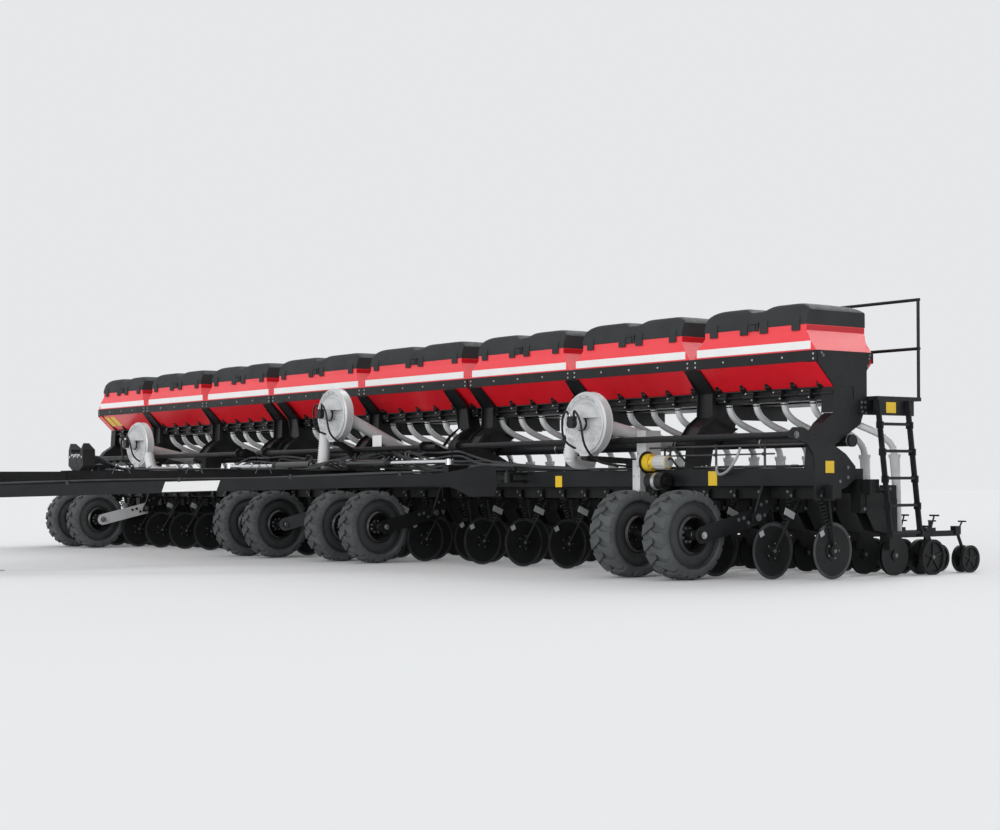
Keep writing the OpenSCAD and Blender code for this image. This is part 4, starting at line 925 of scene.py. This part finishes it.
motor, flange, strap, face = pieces(4)
motor.tube([(x, *DRIVE) for x in (5.985, 5.995, 6.176, 6.188)], [0.068, DRIVE_R, DRIVE_R, 0.058], 32)
for at in around(DRIVE, DRIVE_R, 14):
    motor.rod_x(6.01, 6.15, at, 0.005, 6)
motor.make("drive_motor", "wing_left", GREY, 0.002)
flange.rod_x(5.842, 5.8545, DRIVE, 0.122, 32)
flange.rod_x(5.94, 6.2, PUMP, 0.092, 32)
flange.rod_x(6.2, 6.23, PUMP, 0.05, 20)
flange.line([(6.19, -0.15, 1.23), (6.25, -0.17, 1.24), (6.3, -0.16, 1.18), (6.32, -0.12, 1.13)], 0.012)
flange.line([(6.16, -0.18, 1.27), (6.2, -0.2, 1.34), (6.32, -0.18, 1.33), (6.4, -0.1, 1.2),
             (6.44, -0.05, 1.14)], 0.012)
flange.make("drive_flange", "wing_left", BLACK, 0.002)
strap.rod_x(6.045, 6.095, PUMP, 0.0945, 32)
strap.box((6.045, -0.13, 0.99), (6.095, -0.0805, 1.085))
for at in around(DRIVE, 0.083, 8, 0.5):
    strap.bolt((5.945, *at), X_AXIS, 0.007, 0.008)
for xs, heights in (((5.71, 5.82), (1.16, 1.3, 1.45)), ((5.64, 5.72), (0.9, 1.05))):
    for x in xs:
        for z in heights:
            strap.bolt((x, -0.1602, z), FORWARD, 0.009, 0.009)
strap.make("drive_strap", "wing_left", ZINC)
face.tube([(x, *DRIVE) for x in (5.9446, 5.95, 5.956)], [0.078, 0.072, 0.07], 24)
face.make("drive_face", "wing_left", YELLOW, 0.001)


# Side plates of the wheel arms, and a bare sign on the centre beam

PLATE_R, PLATE_T = 0.086, 0.006
SIGN_X = 0.8

hub, pivot = Vector(AXLE), Vector(ARM_PIVOT)
along = (pivot - hub).normalized()
across = Vector((-along.y, along.x))
half_turn = circle(24)[:13]
outline = [hub + PLATE_R * (c * across - s * along) for c, s in half_turn]
outline += [pivot + PLATE_R * (s * along - c * across) for c, s in half_turn]

for tag, body, plate_look, bolt_look in ARMS:
    plates, heads = pieces(2)
    for s in (-1, 1):
        x = WHEEL_X[tag] + s * 0.6628
        plates.plate_x(outline, x, s, PLATE_T)
        for t, h in ((0.8, 0.03), (0.87, -0.03), (0.7, 0.03)):
            heads.bolt((x + s * PLATE_T, *(hub + (pivot - hub) * t + across * h)), (s, 0, 0), 0.014, 0.011)
    plates.make(f"arm_plates_{tag}", body, plate_look, 0.002, slot="black_steel")
    heads.make(f"arm_heads_{tag}", body, bolt_look, slot="jack_zinc")

sign, posts = pieces(2)
slab(sign, (SIGN_X, -0.3, 1.545), X_AXIS, Z_AXIS, FORWARD, 0.21, 0.155, SIGN_T)
for x in (SIGN_X - 0.05, SIGN_X + 0.05):
    posts.tube([(x, -0.02, 1.1205), (x, -0.1, 1.18), (x, -0.285, 1.42), (x, -0.29, 1.62)], 0.009, 8)
sign.make("bare_sign_centre", "centre", WHITE, 0.001)
posts.make("sign_posts_centre", "centre", BLACK)


# Valve block on the centre beam, the hoses that meet at the fold pins, and the tongue's ears and loops

PORTS = [0.6425 + 0.125 * k for k in range(4)]
FOLD_Z = [1.165 + 0.028 * k for k in range(4)]
SUPPORT = ((-0.06, -0.05, 1.121), (-0.045, -0.12, 1.15), (-0.02, -0.17, 1.26), (0.02, -0.17, 1.26),
           (0.045, -0.12, 1.15), (0.06, -0.05, 1.121))
EAR = ((0.205, -4.15, 1.4195), (0.125, -4.15, 1.4195), (0.185, -4.135, 1.5), (0.205, -3.99, 1.4195),
       (0.125, -3.99, 1.4195), (0.185, -4.06, 1.5))
EAR_FACES = [(0, 1, 2), (3, 5, 4), (0, 3, 4, 1), (1, 4, 5, 2), (2, 5, 3, 0)]
LOOP = ((0.1002, -0.12, 1.13), (0.104, -0.09, 1.2), (0.085, 0.0, 1.285), (0.104, 0.09, 1.2),
        (0.1002, 0.12, 1.13))

valves, hoses, fittings = pieces(3)
valves.box((0.55, -0.075, 1.1505), (1.1, 0.055, 1.176))
for k, (x, z) in enumerate(zip(PORTS, FOLD_Z)):
    valves.box((x - 0.0425, -0.055, 1.176), (x + 0.0425, 0.035, 1.275 + 0.02 * (k % 2)))
    valves.tube([(x, -0.01, 1.27), (x, -0.01, 1.335)], 0.026, 16)
    fittings.tube([(x, -0.055, 1.225), (x, -0.095, 1.225)], 0.016, 6)
    fittings.tube([(x, -0.01, 1.335), (x, -0.01, 1.355)], 0.014, 6)
    to_left = [(1.45 + 0.05 * k, -0.19 - 0.012 * k, 1.175 + 0.02 * k), (1.9, -0.21, 1.155 + 0.018 * k)]
    to_right = [(0.1, -0.22 - 0.02 * k, 1.205 + 0.03 * k), (-0.8, -0.23, 1.185 + 0.02 * k),
                (-1.5, -0.2, 1.16 + 0.018 * k)]
    for side, way in ((1, to_left), (-1, to_right)):
        hoses.line([(x, -0.09, 1.225), (x + 0.03 * side, -0.15, 1.2 + 0.03 * k), *way,
                    (side * 2.2, -0.235, z), (side * 2.382, FOLD_Y, z)], 0.0115)
for k in range(5):
    x = 0.66 + 0.1 * k
    hoses.line([(x, -0.01, 1.35), (x + 0.02, -0.03, 1.43 + 0.02 * (k % 2)), (x - 0.12, -0.16, 1.47 - 0.02 * k),
                (x - 0.26, -0.28, 1.38), (0.33 - 0.02 * k, -0.43, 1.27), (0.08 * (k - 2), -0.62, 1.24)], 0.0105)
valves.make("valve_block", "centre", BLACK, 0.004)
hoses.make("valve_hoses", "centre", RUBBER)
fittings.make("valve_fittings", "centre", ZINC, 0.001)

for tag, body, side in WINGS:
    hoses, supports = pieces(2, side)
    for k, z in enumerate(FOLD_Z):
        hoses.line([(2.418, FOLD_Y, z), (2.6, -0.235, z), (3.0, -0.16, 1.158 + 0.02 * k),
                    (3.5, -0.115 + 0.012 * k, 1.16 + 0.016 * k), (4.2, -0.06 + 0.03 * k, 1.155),
                    (4.6, -0.045 + 0.03 * k, 1.15)], 0.0115)
    for x in (2.95, 3.45):
        supports.line([(x + dx, y, z) for dx, y, z in SUPPORT], 0.006, 6)
    hoses.make(f"fold_hoses_{tag}", body, RUBBER)
    supports.make(f"hose_supports_{tag}", body, TOOL)

ears, loops = pieces(2)
for s in (-1, 1):
    ears.add([(s * x, y, z) for x, y, z in EAR], flipped(EAR_FACES, s < 0))
    for y in (-3.6, -2.6, -1.6):
        loops.tube([(s * x, y + dy, z) for x, dy, z in LOOP], 0.006, 6)
ears.make("coupler_ears", "centre", BLACK, 0.003)
loops.make("tongue_loops", "centre", MID_GREY)


# Cheeks of the opener links, worn disc edges and pale plates on the coulter forks

CHEEK = [(0.62, 0.66), (0.74, 0.48), (1.0, 0.44), (1.09, 0.46), (1.09, 0.8), (0.98, 0.84), (0.7, 0.88),
         (0.62, 0.84)]
EDGE_N = 48

for tag, body, side in SECTIONS:
    cheeks, edges, plates = pieces(3, side)
    for x, y in coulter_rows(tag):
        for s in (-1, 1):
            cheeks.plate_x(CHEEK, x + s * 0.068, s, 0.006)
            edge = [(x + s * 0.0034, *at) for r in (0.252, 0.284) for at in around((y, COULTER_Z), r, EDGE_N)]
            edges.add(edge, flipped(ring_faces(EDGE_N), s > 0))
        slab(plates, (x + 0.0125, y - 0.165, COULTER_Z + 0.175), (0, 0.9, 0.4), (0, -0.4, 0.9), X_AXIS,
             0.062, 0.055, 0.004)
        if y < 0:
            slab(plates, (x + 0.046, -0.05, 0.66), (0, 0.92, -0.38), (0, 0.38, 0.92), X_AXIS, 0.15, 0.07, 0.005)
    cheeks.make(f"link_cheeks_{tag}", body, TOOL, 0.001)
    edges.make(f"disc_edges_{tag}", body, WORN)
    plates.make(f"fork_plates_{tag}", body, PALE, 0.001)


# Pressure hoses between the valve block and the wings, meeting at the fold pins, and gussets of the draft arms

# Sag of each hose, and its height at the fold pins
PRESSURE = ((0.0, 1.16), (0.045, 1.215), (-0.015, 1.265), (0.07, 1.325), (0.02, 1.38))
PRESSURE_R = 0.0135
# Distance along the draft arm, and height
GUSSET = [(0.13, -0.056), (0.78, -0.056), (0.66, -0.095), (0.44, -0.215), (0.15, -0.215)]
GUSSET_SIDE = ARM_SIDE + 0.01

hoses = Piece()
for k, (sag, z) in enumerate(PRESSURE):
    x, two, three = 0.68 + 0.085 * k, 0.02 * (k % 2), k % 3
    hoses.line([(x, -0.03, 1.35), (x + 0.04, -0.07, 1.43 + 0.5 * sag), (x + 0.25, -0.2, 1.43 - sag),
                (1.5 + 0.06 * k, -0.3 + 0.02 * three, 1.3 + 0.02 * k - sag),
                (1.9, -0.315 + 0.03 * three, z + 0.02 - sag), (2.2, -0.28 + two, z - 0.01),
                (2.384, FOLD_Y, z)], PRESSURE_R)
    hoses.line([(x - 0.02, -0.01, 1.35), (x - 0.12, -0.12, 1.42 + 0.5 * sag), (0.32, -0.24, 1.37 - sag),
                (-0.5, -0.3 + 0.02 * three, 1.25 + 0.02 * k - sag),
                (-1.5, -0.3 + 0.03 * three, z + 0.02 - sag), (-2.15, -0.28 + two, z - 0.01),
                (-2.384, FOLD_Y, z)], PRESSURE_R)
hoses.make("pressure_hoses_centre", "centre", HYDRAULIC)

for tag, body, side in WINGS:
    hoses = Piece(side)
    for k, (sag, z) in enumerate(PRESSURE):
        two, three = k % 2, k % 3
        hoses.line([(2.416, FOLD_Y, z), (2.62, -0.27 + 0.02 * two, z - 0.01),
                    (3.0, -0.29 + 0.04 * three, 0.4 * z + 0.74 - 0.6 * sag),
                    (3.5, -0.24 + 0.05 * three, 1.205 + 0.02 * two - 0.5 * sag),
                    (4.1, -0.12 + 0.03 * k, 1.16 + 0.012 * two), (4.75, -0.055 + 0.03 * k, 1.1375),
                    (5.0, -0.045 + 0.03 * k, 1.1365)], PRESSURE_R)
    hoses.make(f"pressure_hoses_{tag}", body, HYDRAULIC)

for tag, _, side in WINGS:
    gusset = Piece(side)
    faces = cap_faces(len(GUSSET)) + ring_faces(len(GUSSET))
    for s in (-1, 1):
        verts = [on_arm(d / ARM_RUN.length, s * out, h) for out in (ARM_SIDE, GUSSET_SIDE) for d, h in GUSSET]
        gusset.add(verts, flipped(faces, s > 0))
        for d in (0.3, 0.58):
            at = on_arm(d / ARM_RUN.length, s * GUSSET_SIDE, -0.085)
            slab(gusset, at, ARM_RUN, Z_AXIS, ARM_OUT * s, 0.11, 0.026, 0.004)
    gusset.make(f"draft_gussets_{tag}", f"draft_{tag}", FRAME, 0.002)


# Thin pipes over the front beam of each wing, with posts and a ribbed line to the beam

PIPE_HIGH, PIPE_LOW = (-0.105, 1.355), (-0.105, 1.265)
PIPE_START = 5.75
DROP_LINE = [(7.22, -0.108, 1.335), (7.2, -0.15, 1.22), (7.1, -0.17, 1.1), (6.98, -0.16, 1.06),
             (6.9, -0.13, 1.09), (6.86, -0.09, 1.15)]

for tag, body, side in WINGS:
    pipes, drop = pieces(2, side)
    pipes.rod_x(PIPE_START, 8.12, PIPE_HIGH, 0.011, 10)
    pipes.rod_x(PIPE_START, 7.7, PIPE_LOW, 0.009, 10)
    for x in (6.15, 6.85, 7.55):
        pipes.box((x - 0.015, -0.094, 1.1204), (x + 0.015, -0.086, 1.375))
        for at in (PIPE_HIGH, PIPE_LOW):
            pipes.rod_x(x - 0.014, x + 0.014, at, 0.018, 12)
    drop.ribs(curve(DROP_LINE, 8), 0.013, 0.012, 0.003, 10)
    pipes.make(f"beam_pipes_{tag}", body, HYDRAULIC, 0.001, slot="black_steel")
    drop.make(f"beam_lines_{tag}", body, PALE, slot="hose_grey")


# Channel in front of each stand: two flanges and the web between them, from the strip to the elbow of the leg.
# Two on the centre are set back. A red panel closes each outer end.

ELBOW = [(0.178, 1.69), (0.03, 1.59), (-0.075, 1.46), (-0.024, 1.46), (0.066, 1.568)]
FLANGE = [(-0.01, 2.177), (0.185, 1.93), *ELBOW, (0.2276, 1.674), (0.2465, 1.937), (-0.003, 2.177)]
INSET_FLANGE = [(-0.06, 2.168), (0.14, 1.93), *ELBOW, (0.188, 1.674), (0.184, 1.934), (-0.05, 2.168)]
WEB = [(-0.0087, 2.1713), (0.239, 1.934), (0.22, 1.672), (0.06, 1.5655), (-0.028, 1.46), (-0.032, 1.463),
       (0.056, 1.569), (0.216, 1.675), (0.235, 1.932), (-0.0117, 2.1684)]
INSET_WEB = [(-0.0505, 2.169), (0.184, 1.9345), (0.189, 1.675), (0.185, 1.676), (0.18, 1.932),
             (-0.0535, 2.166)]
END_PANEL = [(-0.0087, 2.1713), (0.2393, 1.9343), (0.2365, 1.9314), (-0.0115, 2.1684)]
CHANNEL_HALF, FLANGE_HALF = 0.115, 0.005
CHANNELS = {"centre": [(0.0, WEB, FLANGE), (-2.05, INSET_WEB, INSET_FLANGE), (2.05, INSET_WEB, INSET_FLANGE)],
            "left": [(x, WEB, FLANGE) for x in (2.5355, 4.4, 6.4)]}
CHANNELS["right"] = CHANNELS["left"]

for tag, body, side in SECTIONS:
    channel = Piece(side)
    for mid, web, flange in CHANNELS[tag]:
        channel.prism_x(web, mid - CHANNEL_HALF, mid + CHANNEL_HALF)
        for x in (mid - CHANNEL_HALF, mid + CHANNEL_HALF):
            channel.prism_x(flange, x - FLANGE_HALF, x + FLANGE_HALF)
    channel.make(f"stand_channels_{tag}", body, BLACK, 0.002)
    if tag != "centre":
        panel = Piece(side)
        panel.prism_x(END_PANEL, 8.025, 8.178)
        panel.make(f"end_panel_{tag}", body, RED_WITH_PAINTED_HIGHLIGHT)
